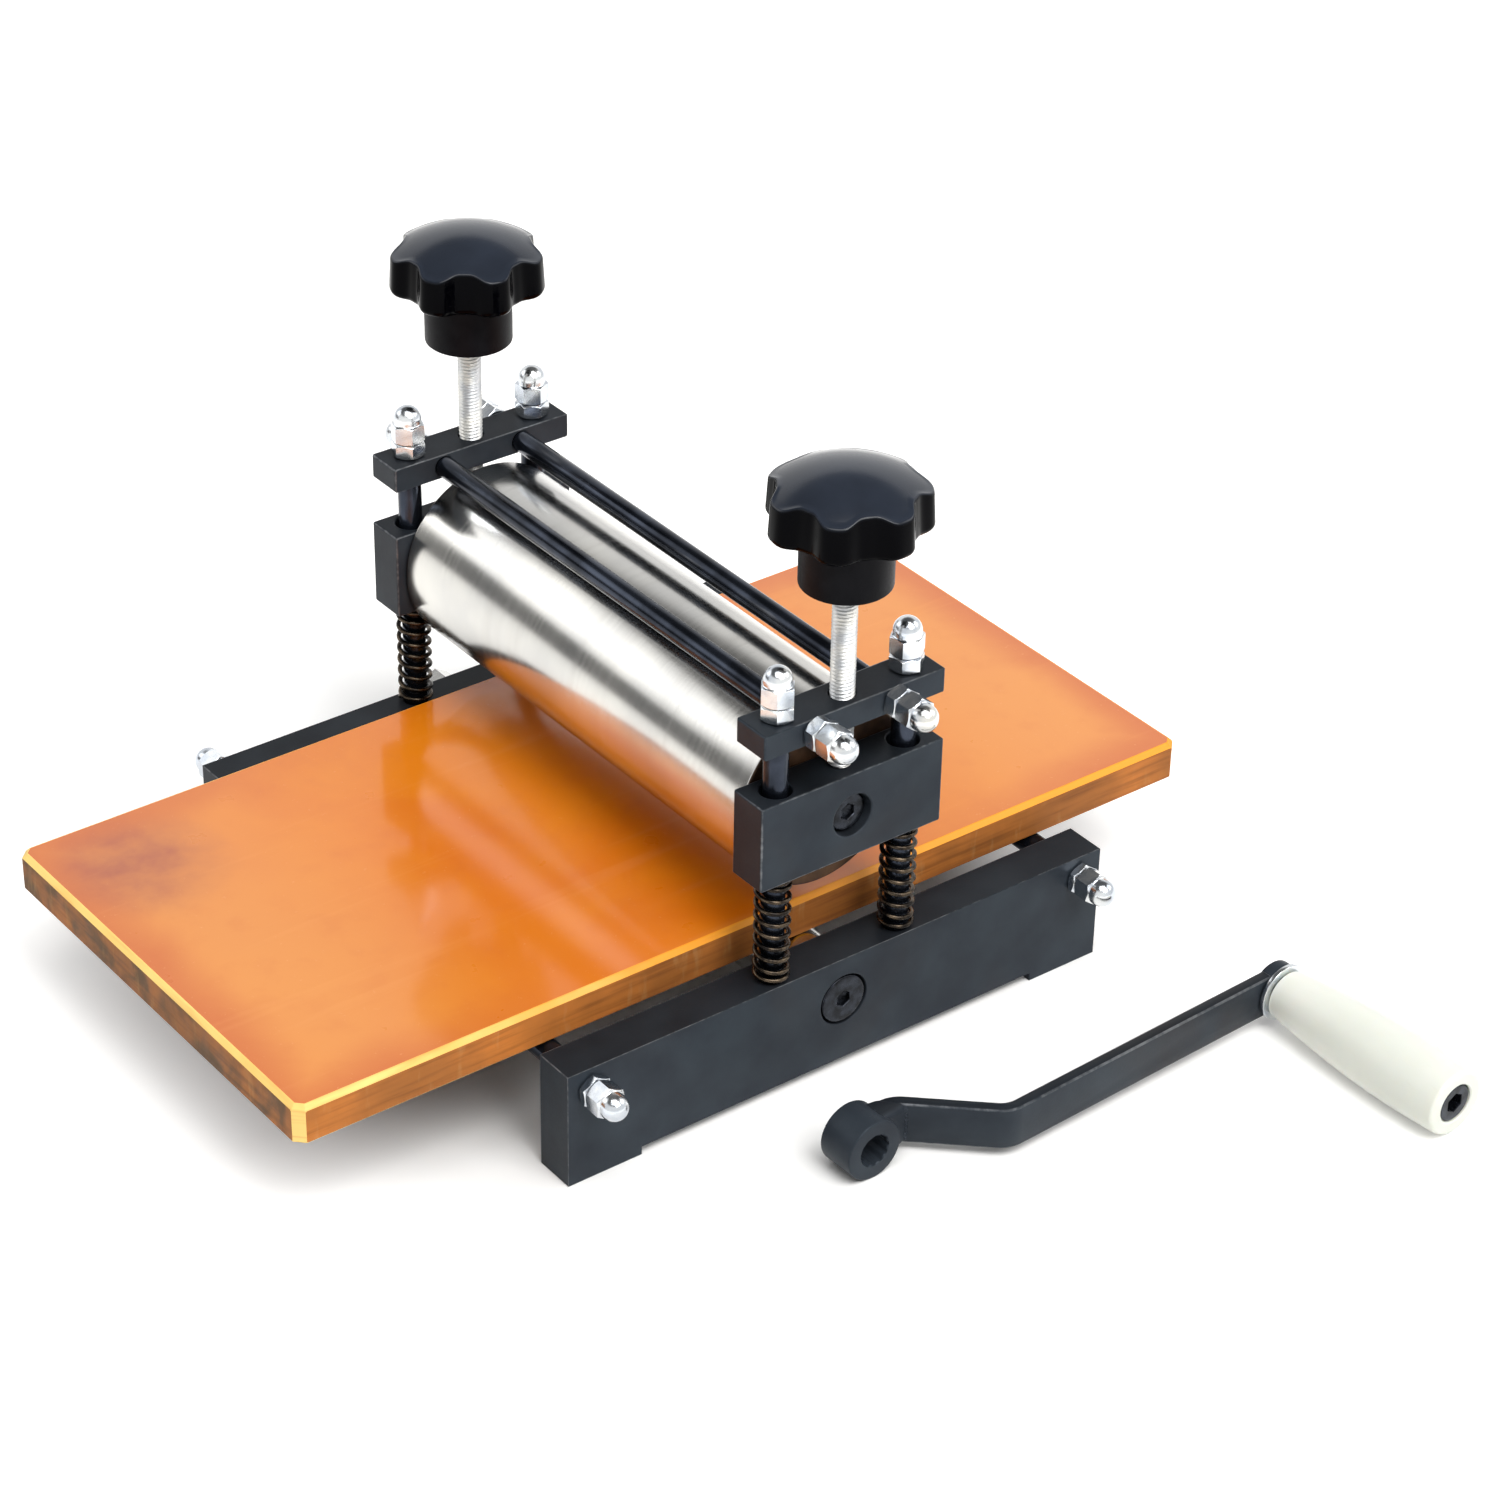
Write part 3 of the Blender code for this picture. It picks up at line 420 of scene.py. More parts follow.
def simpleFinish(name):
    look = {"spread": (0.3, 0.7), "metallic": 1, "specular": 0.5} | simpleFinishes[name]

    def recipe(nodes):
        cloud, marks = grain(nodes, *look["clouds"]), grain(nodes, *look["marks"])
        sockets = {
            "Base Color": cloud.between(*look["spread"]).mixed(*look["tints"]),
            "Metallic": look["metallic"],
            "Roughness": look["roughness"] + marks.swing(0.2),
            "Specular IOR Level": look["specular"],
        }
        if "wear" in look:
            span, share, worn = look["wear"]
            sockets["Base Color"] = (marks.between(*span) * share).mixed(sockets["Base Color"], worn)
        if "relief" in look:
            sockets["Normal"] = marks.raised(look["relief"])
        return sockets

    return material(name, recipe)


zincPlate = material("zincPlate", zinc)
zincThread = simpleFinish("zincThread")
rollerSteel = material("rollerSteel", groundSteel)
rollerEnds = simpleFinish("rollerEnds")
springSteel = simpleFinish("springSteel")
blackRod = simpleFinish("blackRod")
bushSteel = simpleFinish("bushSteel")
endScrewBlack = simpleFinish("endScrewBlack")
glossyPlastic = material("glossyPlastic", knobGloss)
mattPlastic = simpleFinish("mattPlastic")
ivoryPlastic = material("ivoryPlastic", ivory)
boardTop = material("boardTop", boardFace)
boardChamfer = material("boardChamfer", boardCut)
boardEdge = material("boardEdge", boardSide)
print("materials are ready")


# Meshes


sideSigns = {"near": -1, "far": 1}
endNames = ("left", "right")
corners = [(side, name) for side in sideSigns for name in endNames]


def newPiece(name, mesh):
    piece = bpy.data.objects.new(name, mesh)
    bpy.context.scene.collection.objects.link(piece)
    return piece


def meshOf(bm, name, place=None):
    bmesh.ops.recalc_face_normals(bm, faces=bm.faces)
    mesh = bpy.data.meshes.new(name)
    bm.to_mesh(mesh)
    bm.free()
    if place:
        mesh.transform(place)
    return mesh


def smoothed(mesh, angle=30):
    mesh.shade_smooth()
    mesh.set_sharp_from_angle(angle=radians(angle))


def finishPiece(piece, body, materials, slot, *nodes):
    for made in materials:
        if made.name not in piece.data.materials:
            piece.data.materials.append(made)
    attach(piece, body)
    if nodes:
        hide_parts(*nodes)


def measured(node):  # its low and high corners, its middle and half its size
    low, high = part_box(node)
    return low, high, (low + high) / 2, (high - low) / 2


def centre(node):
    return measured(node)[2]


def standing(spot, turn=0):
    return Matrix.Translation(spot) @ Matrix.Rotation(radians(turn), 4, "Z")


def facing(side, spot=(0, 0, 0), turn=0):  # turns a piece's own Z outwards at a side of the press
    outwards = Matrix.Rotation(sideSigns[side] * -pi / 2, 4, "X")
    return Matrix.Translation(spot) @ outwards @ standing((0, 0, 0), turn)


def mirrored(points):  # a lathe's profile from its upper half
    return [(reach, -height) for reach, height in points[::-1]] + points


def arc(x, y, radius, start, end, steps):  # points round a centre, from and to so many quarter turns
    angles = [pi / 2 * (start + (end - start) * step / steps) for step in range(steps + 1)]
    return [(x + radius * cos(angle), y + radius * sin(angle)) for angle in angles]


def roundCorners(points, radius, steps=3, ring=False):
    rounded = []
    for index, point in enumerate(points):
        here = Vector(point)
        if not ring and index in (0, len(points) - 1):
            rounded.append(here)
            continue
        before = Vector(points[index - 1]) - here
        after = Vector(points[(index + 1) % len(points)]) - here
        reach = min(radius, before.length * 0.45, after.length * 0.45)
        start = here + before.normalized() * reach
        end = here + after.normalized() * reach
        for step in range(steps + 1):
            share = step / steps
            rounded.append(start.lerp(here, share).lerp(here.lerp(end, share), share))
    return rounded


def hexagonal(flats, turn=0):
    sixth = tau / 6
    return lambda angle: flats / 2 / cos((angle - turn + sixth / 2) % sixth - sixth / 2)


def lathe(name, rings, columns, place=None, ring=False):  # a ring is a radius, or a rule for it, and a height
    bm = bmesh.new()
    rows = []
    for radius, height in rings:
        row = []
        for column in range(1 if radius == 0 else columns):
            angle = tau * column / columns
            reach = radius(angle) if callable(radius) else radius
            row.append(bm.verts.new((reach * cos(angle), reach * sin(angle), height)))
        rows.append(row)
    for lower, upper in zip(rows, rows[1:] + rows[:1] if ring else rows[1:]):
        for column in range(columns):
            following = (column + 1) % columns
            around = [lower[column % len(lower)], lower[following % len(lower)]]
            around += [upper[following % len(upper)], upper[column % len(upper)]]
            bm.faces.new(list(dict.fromkeys(around)))
    mesh = meshOf(bm, name, place)
    smoothed(mesh)
    return newPiece(name, mesh)


def stacked(name, rows, place=None):  # a closed skin over rings of points
    bm = bmesh.new()
    rows = [[bm.verts.new(point) for point in row] for row in rows]
    bm.faces.new(rows[0][::-1])
    bm.faces.new(rows[-1])
    for lower, upper in zip(rows, rows[1:]):
        for index in range(len(lower)):
            bm.faces.new([lower[index - 1], lower[index], upper[index], upper[index - 1]])
    return newPiece(name, meshOf(bm, name, place))


def extruded(name, outline, direction):
    bm = bmesh.new()
    face = bm.faces.new([bm.verts.new(point) for point in outline])
    swept = bmesh.ops.extrude_face_region(bm, geom=[face])["geom"]
    far = [item for item in swept if isinstance(item, bmesh.types.BMVert)]
    bmesh.ops.translate(bm, verts=far, vec=direction)
    return newPiece(name, meshOf(bm, name))


def applied(piece):
    evaluated = piece.evaluated_get(bpy.context.evaluated_depsgraph_get())
    mesh = bpy.data.meshes.new_from_object(evaluated)
    piece.modifiers.clear()
    piece.data = mesh


def bored(piece, holes, columns):  # a hole is its radius and its two ends
    bm = bmesh.new()
    for radius, start, end in holes:
        start, end = Vector(start), Vector(end)
        turn = Vector((0, 0, 1)).rotation_difference(end - start).to_matrix().to_4x4()
        sizes = {"segments": columns, "radius1": radius, "radius2": radius, "depth": (end - start).length}
        place = Matrix.Translation((start + end) / 2) @ turn
        bmesh.ops.create_cone(bm, cap_ends=True, matrix=place, **sizes)
    cutter = newPiece("cutter", meshOf(bm, "cutter"))
    modifier = piece.modifiers.new("bores", "BOOLEAN")
    modifier.object = cutter
    modifier.solver = "EXACT"
    applied(piece)
    bpy.data.objects.remove(cutter)


def bevelled(piece, width, segments=3, angle=35, worn=True):  # marks the faces that a material wears, and the faces facing up or, less, towards -X that take painted shade
    modifier = piece.modifiers.new("bevel", "BEVEL")
    modifier.width = width
    modifier.segments = segments
    modifier.limit_method = "ANGLE"
    modifier.angle_limit = radians(angle)
    modifier.harden_normals = True
    modifier.material = 1
    piece.data.materials.clear()
    for part in ("body", "edge"):
        piece.data.materials.append(bpy.data.materials.new(part))
    applied(piece)
    mesh = piece.data
    edge, oil = (mesh.attributes.new(name, "FLOAT", "FACE") for name in ("edge", "oil"))
    for face in mesh.polygons:
        edge.data[face.index].value = face.material_index * worn
        # painted shade: strongest on faces facing up, weaker on faces facing -X
        oil.data[face.index].value = max(0, face.normal.z, -face.normal.x * 0.7) ** 3
        face.material_index = 0
    mesh.materials.clear()


# Geometry trees


def geometryTree(name, inputs):
    tree = bpy.data.node_groups.new(name, "GeometryNodeTree")
    tree.interface.new_socket("Geometry", in_out="INPUT", socket_type="NodeSocketGeometry")
    tree.interface.new_socket("Geometry", in_out="OUTPUT", socket_type="NodeSocketGeometry")
    for label, kind in (inputs | {"Finish": "Material"}).items():
        tree.interface.new_socket(label, in_out="INPUT", socket_type="NodeSocket" + kind)
    nodes = Nodes(tree)
    return nodes, nodes.add("NodeGroupInput")


def endTree(nodes, start, sockets):  # what stands on the points, made real and finished
    placed = nodes.add("GeometryNodeInstanceOnPoints", sockets)
    real = nodes.add("GeometryNodeRealizeInstances", {"Geometry": placed})
    sockets = {"Geometry": real, "Material": start["Finish"]}
    nodes.add("NodeGroupOutput", {"Geometry": nodes.add("GeometryNodeSetMaterial", sockets)})
    return nodes.tree


def atPlaces(nodes, start, instance):  # ends a tree with one instance at each place, turned as the place is
    turn = nodes.add("GeometryNodeInputNamedAttribute", {"Name": "turn"}, data_type="FLOAT_VECTOR")
    sockets = {"Points": start["Geometry"], "Instance": instance}
    sockets["Rotation"] = nodes.add("FunctionNodeEulerToRotation", {"Euler": turn})
    return endTree(nodes, start, sockets)


def positions(nodes):
    return nodes.add("ShaderNodeSeparateXYZ", {"Vector": nodes.add("GeometryNodeInputPosition")})


def moved(nodes, geometry, x, y, z):
    spot = nodes.add("ShaderNodeCombineXYZ", {"X": x, "Y": y, "Z": z})
    return nodes.add("GeometryNodeSetPosition", {"Geometry": geometry, "Position": spot})


def grown(name, host, tree, inputs):  # runs a tree on a host mesh and keeps what it makes as a plain mesh
    piece = newPiece(name, host)
    modifier = piece.modifiers.new("tree", "NODES")
    modifier.node_group = tree
    for item in tree.interface.items_tree:
        if item.in_out == "INPUT" and item.name in inputs:
            modifier[item.identifier] = inputs[item.name]
    applied(piece)
    return piece


def profileMesh(points, shares=()):  # a line of (radius, height) points, with how far each follows a rule
    mesh = bpy.data.meshes.new("profile")
    edges = [(index, index + 1) for index in range(len(points) - 1)]
    mesh.from_pydata([(radius, height, 0) for radius, height in points], edges, [])
    for label, values in dict(shares).items():
        mesh.attributes.new(label, "FLOAT", "POINT").data.foreach_set("value", values)
    return mesh


def placesMesh(places):
    mesh = bpy.data.meshes.new("places")
    mesh.from_pydata([place.translation for place in places], [], [])
    turns = mesh.attributes.new("turn", "FLOAT_VECTOR", "POINT")
    for point, place in zip(turns.data, places):
        point.vector = place.to_euler()
    return mesh


def turnedShell(nodes, start):  # a grid, with the angle and the profile's values at each of its points
    profile = nodes.add("GeometryNodeObjectInfo", {"Object": start["Profile"]}, "Geometry")
    count = nodes.add("GeometryNodeAttributeDomainSize", {"Geometry": profile}, "Point Count")
    columns = start["Columns"]
    grid = nodes.add("GeometryNodeMeshGrid", {"Vertices X": columns + 1, "Vertices Y": count})
    index = nodes.add("GeometryNodeInputIndex")
    row = index % count
    angle = (index - row) / count / columns * tau

    def sampled(value, kind="FLOAT"):
        sockets = {"Geometry": profile, "Value": value, "Index": row}
        return nodes.add("GeometryNodeSampleIndex", sockets, data_type=kind)

    def share(label):
        return sampled(nodes.add("GeometryNodeInputNamedAttribute", {"Name": label}, data_type="FLOAT"))

    point = sampled(nodes.add("GeometryNodeInputPosition"), "FLOAT_VECTOR")
    radius = nodes.add("ShaderNodeSeparateXYZ", {"Vector": point})
    return grid, angle, radius, radius["Y"], share


def shellClosed(nodes, grid, angle, radius, height):
    shell = moved(nodes, grid, radius * angle.cosine(), radius * angle.sine(), height)
    return nodes.add("GeometryNodeMergeByDistance", {"Geometry": shell, "Distance": 0.000002})


def nutTree():  # a round profile turned, cut to six flats and set at each place
    nodes, start = geometryTree("hexNuts", {"Profile": "Object", "Flats": "Float", "Columns": "Int"})
    grid, angle, radius, height = turnedShell(nodes, start)[:4]
    sixth = tau / 6
    folded = (angle + sixth / 2) % sixth - sixth / 2
    flat = start["Flats"] / 2 / folded.cosine()
    return atPlaces(nodes, start, shellClosed(nodes, grid, angle, radius.least(flat), height))


def springTree():  # a helix with close end turns, ground flat at both ends
    inputs = {"Coil": "Float", "Wire": "Float", "Turns": "Float", "Height": "Float"}
    nodes, start = geometryTree("postSprings", inputs)
    coil, wire, turns, height = (start[label] for label in inputs)
    sockets = {"Resolution": 40, "Rotations": turns, "Start Radius": coil, "End Radius": coil}
    spiral = nodes.add("GeometryNodeCurveSpiral", sockets | {"Height": height})
    turn = nodes.add("GeometryNodeSplineParameter") * turns
    closePitch = wire * 2 + springSizes["close gap"]
    openTurns = turns - 2
    openPitch = (height - wire * 2 - closePitch * 2) / openTurns
    rise = turn.least(1) * closePitch + (turn - 1).most(0).least(openTurns) * openPitch
    rise = rise + (turn - 1 - openTurns).most(0) * closePitch + wire
    spot = positions(nodes)
    line = moved(nodes, spiral, spot, spot["Y"], rise)
    ring = nodes.add("GeometryNodeCurvePrimitiveCircle", {"Resolution": 14, "Radius": wire})
    tube = nodes.add("GeometryNodeCurveToMesh", {"Curve": line, "Profile Curve": ring, "Fill Caps": True})
    spot = positions(nodes)
    ground = spot["Z"].most(wire * 0.5).least(height - wire * 0.5)
    return atPlaces(nodes, start, moved(nodes, tube, spot, spot["Y"], ground))


def threadTree():  # a rod whose radius rises and falls along a helix
    inputs = {"Radius": "Float", "Depth": "Float", "Pitch": "Float", "Length": "Float"}
    nodes, start = geometryTree("threads", inputs | {"Rows": "Int", "Columns": "Int"})
    radius, depth, pitch, length = (start[label] for label in inputs)
    sockets = {"Vertices": start["Columns"], "Side Segments": start["Rows"]}
    sockets |= {"Radius": radius, "Depth": length}
    rod = nodes.add("GeometryNodeMeshCylinder", sockets, fill_type="TRIANGLE_FAN")
    x = positions(nodes)
    y, z = x["Y"], x["Z"]
    angle = x.maths("ARCTAN2", y, x)
    wave = abs((z / pitch - angle / tau) % 1 * 2 - 1)
    flank = (wave * 1.3 - 0.15).most(0).least(1)
    fromEnd = length / 2 - abs(z)
    reach = (radius - depth * (1 - flank)).least(radius - depth * 1.2 + fromEnd)
    share = (reach / radius).least((x * x + y * y) ** 0.5 / radius * 1000)  # the caps' middle points stay
    return atPlaces(nodes, start, moved(nodes, rod, x * share, y * share, z))


def knobTree():  # a turned profile whose skirt and dome follow the lobes
    inputs = {"Profile": "Object", "Radius": "Float", "Lobe height": "Float", "Lobes": "Int"}
    nodes, start = geometryTree("lobedKnob", inputs | {"Dome": "Float", "Columns": "Int"})
    grid, angle, radius, height, share = turnedShell(nodes, start)
    wave = (angle * start["Lobes"]).cosine()
    full = (wave * 3 - wave**3) / 2
    outer = start["Radius"]
    lobed = radius + full * start["Lobe height"] * share("lobe")
    sunk = (lobed * lobed - radius * radius) / (outer * outer) * start["Dome"]
    return atPlaces(nodes, start, shellClosed(nodes, grid, angle, lobed, height - sunk * share("dome")))


def spatterTree():  # drops scattered over the faces of a patch
    inputs = {"Density": "Float", "Seed": "Int", "Least": "Float", "Most": "Float"}
    nodes, start = geometryTree("weldSpatter", inputs)
    density, seed, least, most = (start[label] for label in inputs)
    sockets = {"Mesh": start["Geometry"], "Density": density, "Seed": seed}
    points = nodes.add("GeometryNodeDistributePointsOnFaces", sockets)
    drop = nodes.add("GeometryNodeMeshIcoSphere", {"Radius": 1, "Subdivisions": 2})
    size = nodes.add("FunctionNodeRandomValue", {2: least, 3: most, 8: seed}, 1)
    sockets = {"Points": points, "Instance": drop, "Scale": size, "Rotation": points["Rotation"]}
    return endTree(nodes, start, sockets)


# Side plates, blocks and bars


barSizes = {
    "edge": 0.0007,
    "bore sides": 64,
    "foot": 0.028,
    "notch": 0.003,
    "post bore": 0.0043,
    "block bore": 0.00525,
    "overrun": 0.002,
}


def hole(node, radius, spot, axis, start=None):  # from a start inside a piece, or through both its faces
    low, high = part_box(node)
    ends = spot.copy(), spot.copy()
    ends[0][axis] = low[axis] - barSizes["overrun"] if start is None else start
    ends[1][axis] = high[axis] + barSizes["overrun"]
    return radius, *ends


def makeFlatBar(side, level, kind, body, shift, *drillings):
    sizes = barSizes
    node = f"{side}_{level}_{kind}"
    name = side + level.title() + kind.title()
    low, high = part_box(node)
    if kind == "plate":  # on edge, with a foot at each end
        start, end, top = low.x + sizes["foot"], high.x - sizes["foot"], low.z + sizes["notch"]
        outline = [(low.x, low.z), (start, low.z), (start, top), (end, top), (end, low.z)]
        outline += [(high.x, low.z), (high.x, high.z), (low.x, high.z)]
        bar = extruded(name, [(x, low.y, z) for x, z in outline], (0, high.y - low.y, 0))
    else:
        outline = [(low.x, low.y), (high.x, low.y), (high.x, high.y), (low.x, high.y)]
        bar = extruded(name, [(x, y, low.z) for x, y in outline], (0, 0, high.z - low.z))
    for holes in drillings:
        bored(bar, holes, sizes["bore sides"])
    bevelled(bar, sizes["edge"])
    steel = blackSteel(f"{side}{kind.title()}Steel", (low, high), shift=(shift, sideSigns[side], 0))
    finishPiece(bar, body, [steel], "black_steel", node)


def makeSidePlate(side):
    node = side + "_side_plate"
    spot, half = measured(side + "_lower_bush")[2:]
    holes = [hole(node, half.x + seatGap, spot, 1)]
    for name in endNames:
        post = f"{side}_{name}_post"
        holes.append(hole(node, studBore, centre(name + "_base_tie_rod"), 1))
        holes.append(hole(node, barSizes["post bore"], centre(post), 2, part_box(post)[0].z - seatGap))
    makeFlatBar(side, "side", "plate", "frame", 0, holes)


def makeUpperBlock(side):
    node = side + "_upper_block"
    spot, half = measured(side + "_upper_bush")[2:]
    bush = hole(node, half.x + seatGap, spot, 1)
    posts = [hole(node, barSizes["block bore"], centre(f"{side}_{name}_post"), 2) for name in endNames]
    makeFlatBar(side, "upper", "block", "head", 2, [bush], posts)


def makeTopBar(side):
    node = side + "_top_bar"
    holes = [hole(node, barSizes["post bore"], centre(side + "_pressure_screw"), 2)]
    for name in endNames:
        holes.append(hole(node, studBore, centre(f"{side}_{name}_post"), 2))
        holes.append(hole(node, studBore, centre(name + "_top_tie_rod"), 1))
    makeFlatBar(side, "top", "bar", "frame", 4, holes)


for make in (makeSidePlate, makeUpperBlock, makeTopBar):
    for side in sideSigns:
        make(side)
print("plates, blocks and bars are made")


# Rods, nuts and springs


rodSizes = {"round": 0.0005, "columns": 48}


def makeRod(name, node, profile, place):
    rod = lathe(name, roundCorners(profile, rodSizes["round"]), rodSizes["columns"], place)
    finishPiece(rod, "frame", [blackRod], "black_steel", node)


def makeTieRods():
    for level, inner in (("base", "side_plate"), ("top", "top_bar")):
        for name in endNames:
            node = f"{name}_{level}_tie_rod"
            spot, half = measured(node)[2:]
            shoulder = spot.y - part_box("near_" + inner)[1].y - seatGap
            upper = [(half.x, shoulder), (studRadius, shoulder), (studRadius, half.y), (0, half.y)]
            makeRod(f"{name}{level.title()}TieRod", node, mirrored(upper), facing("far", spot))


def makePosts():
    for side, name in corners:
        node = f"{side}_{name}_post"
        low, high, spot, half = measured(node)
        top = high.z - low.z
        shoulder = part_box(side + "_top_bar")[0].z - seatGap - low.z
        profile = [(0, 0), (half.x, 0), (half.x, shoulder)]
        profile += [(studRadius, shoulder), (studRadius, top), (0, top)]
        makeRod(f"{side}{name.title()}Post", node, profile, standing((spot.x, spot.y, low.z)))


nutSizes = {
    "flats": 0.010,
    "columns": 60,
    "chamfer": 30,
    "face": 0.95,  # the round face's share of the flats
    "cap hexagon": 0.0066,
    "cap height": 0.0126,
    "cap dome": 0.00465,
    "cap bore": 0.0078,
    "neck": 0.0002,
}
nutTurns = {
    "near_left_base": 4,
    "near_right_base": -6,
    "near_left_tie": 5,
    "near_right_tie": -7,
    "near_left_post": 22,
    "near_right_post": 8,
    "far_left_post": -18,
    "far_right_post": -3,
}


def nutProfile(height):  # the corners' circle, chamfered at both faces
    steps = 6
    corner = nutSizes["flats"] / 2 / cos(pi / 6)
    face = nutSizes["flats"] / 2 * nutSizes["face"]
    wide = (corner - face) / steps
    drop = wide * tan(radians(nutSizes["chamfer"]))
    lower = [(face + wide * step, drop * step) for step in range(steps + 1)]
    upper = [(radius, height - rise) for radius, rise in lower[::-1]]
    return [(studBore, 0), *lower, *upper, (studBore, height), (studBore, 0)]


def capProfile():
    sizes = nutSizes
    radius, foot, neck, depth = sizes["cap dome"], sizes["cap hexagon"], sizes["neck"], sizes["cap bore"]
    profile = [(0, depth), (studBore, depth), (studBore, 0), *nutProfile(foot)[1:-2]]
    profile += [(radius + neck, foot), (radius, foot + neck)]
    dome = arc(0, sizes["cap height"] - radius, radius, 0, 1, 14)
    return profile + dome[:-1] + [(0, sizes["cap height"])]


def nutPlace(node):  # where a nut's seat is, with its own Z pointing away from it
    spot, half = measured(node)[2:]
    turn = nutTurns.get(node.replace("_cap", "").replace("_nut", ""), 0)
    if "post" in node:
        return standing((spot.x, spot.y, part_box(node)[0].z), turn)
    side = node.split("_")[0]
    return facing(side, (spot.x, spot.y - sideSigns[side] * half.y, spot.z), turn)


def makeNuts(name, nodes, profile, tree):
    guide = newPiece("guide", profileMesh(profile))
    inputs = {"Profile": guide, "Flats": nutSizes["flats"], "Columns": nutSizes["columns"]}
    places = placesMesh([nutPlace(node) for node in nodes])
    nuts = grown(name, places, tree, inputs | {"Finish": zincPlate})
    bpy.data.objects.remove(guide)
    smoothed(nuts.data)
    finishPiece(nuts, "frame", [zincPlate], "zinc", *nodes)


def makeFrameNuts():
    tree = nutTree()
    caps = []
    for kind in ("base", "post", "tie"):
        nodes = [f"{side}_{name}_{kind}_nut" for side, name in corners]
        low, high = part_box(nodes[0])
        height = high.z - low.z if kind == "post" else high.y - low.y
        makeNuts(kind + "Nuts", nodes, nutProfile(height), tree)
        caps += [node.replace("_nut", "_cap_nut") for node in nodes]
    makeNuts("capNuts", caps, capProfile(), tree)


springSizes = {
    "coil": 0.00525,
    "wire": 0.0008,
    "turns": 9.5,
    "close gap": 0.00035,
    "first end": 35,
    "next end": 60,
}


def makeSprings():
    sizes = springSizes
    nodes = [f"{side}_{name}_spring" for side, name in corners]
    low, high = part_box(nodes[0])
    places = []
    for number, (side, name) in enumerate(corners):
        spot = centre(f"{side}_{name}_post")
        places.append(standing((spot.x, spot.y, low.z), sizes["first end"] + sizes["next end"] * number))
    inputs = {"Coil": sizes["coil"], "Wire": sizes["wire"], "Turns": sizes["turns"]}
    inputs |= {"Height": high.z - low.z, "Finish": springSteel}
    springs = grown("postSprings", placesMesh(places), springTree(), inputs)
    smoothed(springs.data, 50)
    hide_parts(*nodes)
    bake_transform(springs)


makeTieRods()
makePosts()
makeFrameNuts()
makeSprings()
print("rods, nuts and springs are made")


# Rollers, bushes and end screws


rollerSizes = {
    "upper": {"columns": 160, "edge": 0.0009, "gap": 0.00055, "journal": 0.005},
    "lower": {"columns": 96, "edge": 0.0005, "gap": 0.0006, "journal": 0.006},
    "screw hole": 0.0103,
    "stub": 0.010,
    "stub end": (0.0004, 0.0006),
}
bushSizes = {"upper": 0.0053, "lower": 0.0063, "round": 0.0003, "columns": 72}
endScrewSizes = {
    "heights": {"upper": 0.0024, "lower": 0.0032},
    "shank": 0.003,
    "length": 0.010,
    "socket": 0.005,
    "depth": 0.0016,
}


def makeRoller(level, body, rings, spot):
    name, columns = level + "Roller", rollerSizes[level]["columns"]
    roller = lathe(name, rings, columns, facing("far", spot))
    finishPiece(roller, body, [rollerSteel, rollerEnds], "roller_steel", level + "_roller")
    for face in roller.data.polygons:
        # these faces take the dark brown of painted reflection and shade
        if abs(face.normal.y) > 0.3:  # the faces across the axis and their rounded rims
            face.material_index = 1


def makeUpperRoller():
    sizes = rollerSizes["upper"]
    spot, half = measured("upper_roller")[2:]
    radius, end, journal = half.z, half.y, sizes["journal"]
    shoulder = spot.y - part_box("near_upper_block")[1].y - sizes["gap"]
    depth = end - rollerSizes["screw hole"]
    upper = [(radius, shoulder), (journal, shoulder), (journal, end), (studBore, end)]
    profile = mirrored(upper + [(studBore, depth), (0, depth)])
    makeRoller("upper", "press_roller", roundCorners(profile, sizes["edge"], 4), spot)


def makeLowerRoller():
    sizes = rollerSizes["lower"]
    low, high, spot, half = measured("lower_roller")
    inner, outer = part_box("far_side_plate")
    near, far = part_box("near_side_plate")[1].y + sizes["gap"], inner.y - sizes["gap"]
    radius, edge, journal = half.z, sizes["edge"], sizes["journal"]
    depth, step = low.y + rollerSizes["screw hole"], outer.y + seatGap
    stub = hexagonal(rollerSizes["stub"])
    inset, taper = rollerSizes["stub end"]
    rings = [(0, depth), (studBore, depth), (studBore, low.y), (journal, low.y), (journal, near)]
    rings += [(radius - edge, near), (radius, near + edge), (radius, far - edge), (radius - edge, far)]
    rings += [(journal, far), (journal, step), (stub, step), (stub, high.y - taper)]
    rings += [(rollerSizes["stub"] / 2 - inset, high.y), (0, high.y)]
    makeRoller("lower", "drive", rings, (spot.x, 0, spot.z))


def tube(inner, outer, start, end):  # the section of a ring
    return [(inner, start), (outer, start), (outer, end), (inner, end)]


def makeBush(side, level, body):
    node = f"{side}_{level}_bush"
    spot, half = measured(node)[2:]
    rings = roundCorners(tube(bushSizes[level], half.x, -half.y, half.y), bushSizes["round"], ring=True)
    bush = lathe(f"{side}{level.title()}Bush", rings, bushSizes["columns"], facing(side, spot), ring=True)
    finishPiece(bush, body, [bushSteel], "bush_steel", node)


socketSizes = {
    "columns": 72,
    "cone": 0.0008,
    "mouth": 0.0004,
    "chamfer": 0.0002,
    "face": 0.8,  # the flat face's share of the head
    "round": 0.0006,
}


def makeSocketScrew(name, node, place, body, sizes):  # its place is the seat of its head
    detail = socketSizes
    head, height, shank, length = (sizes[part] for part in ("head", "height", "shank", "length"))
    socket, mouth = hexagonal(sizes["socket"]), hexagonal(sizes["socket"] + detail["mouth"])
    floor, edge = height - sizes["depth"], height - detail["chamfer"]
    rings = [(0, floor - detail["cone"]), (socket, floor), (socket, edge), (mouth, height)]
    outer = [(head * detail["face"], height), (head, height), (head, 0)]
    outer += [(shank, 0), (shank, -length), (0, -length)]
    screw = lathe(name, rings + roundCorners(outer, detail["round"], 4), detail["columns"], place)
    finishPiece(screw, body, [endScrewBlack], "black_steel", node)


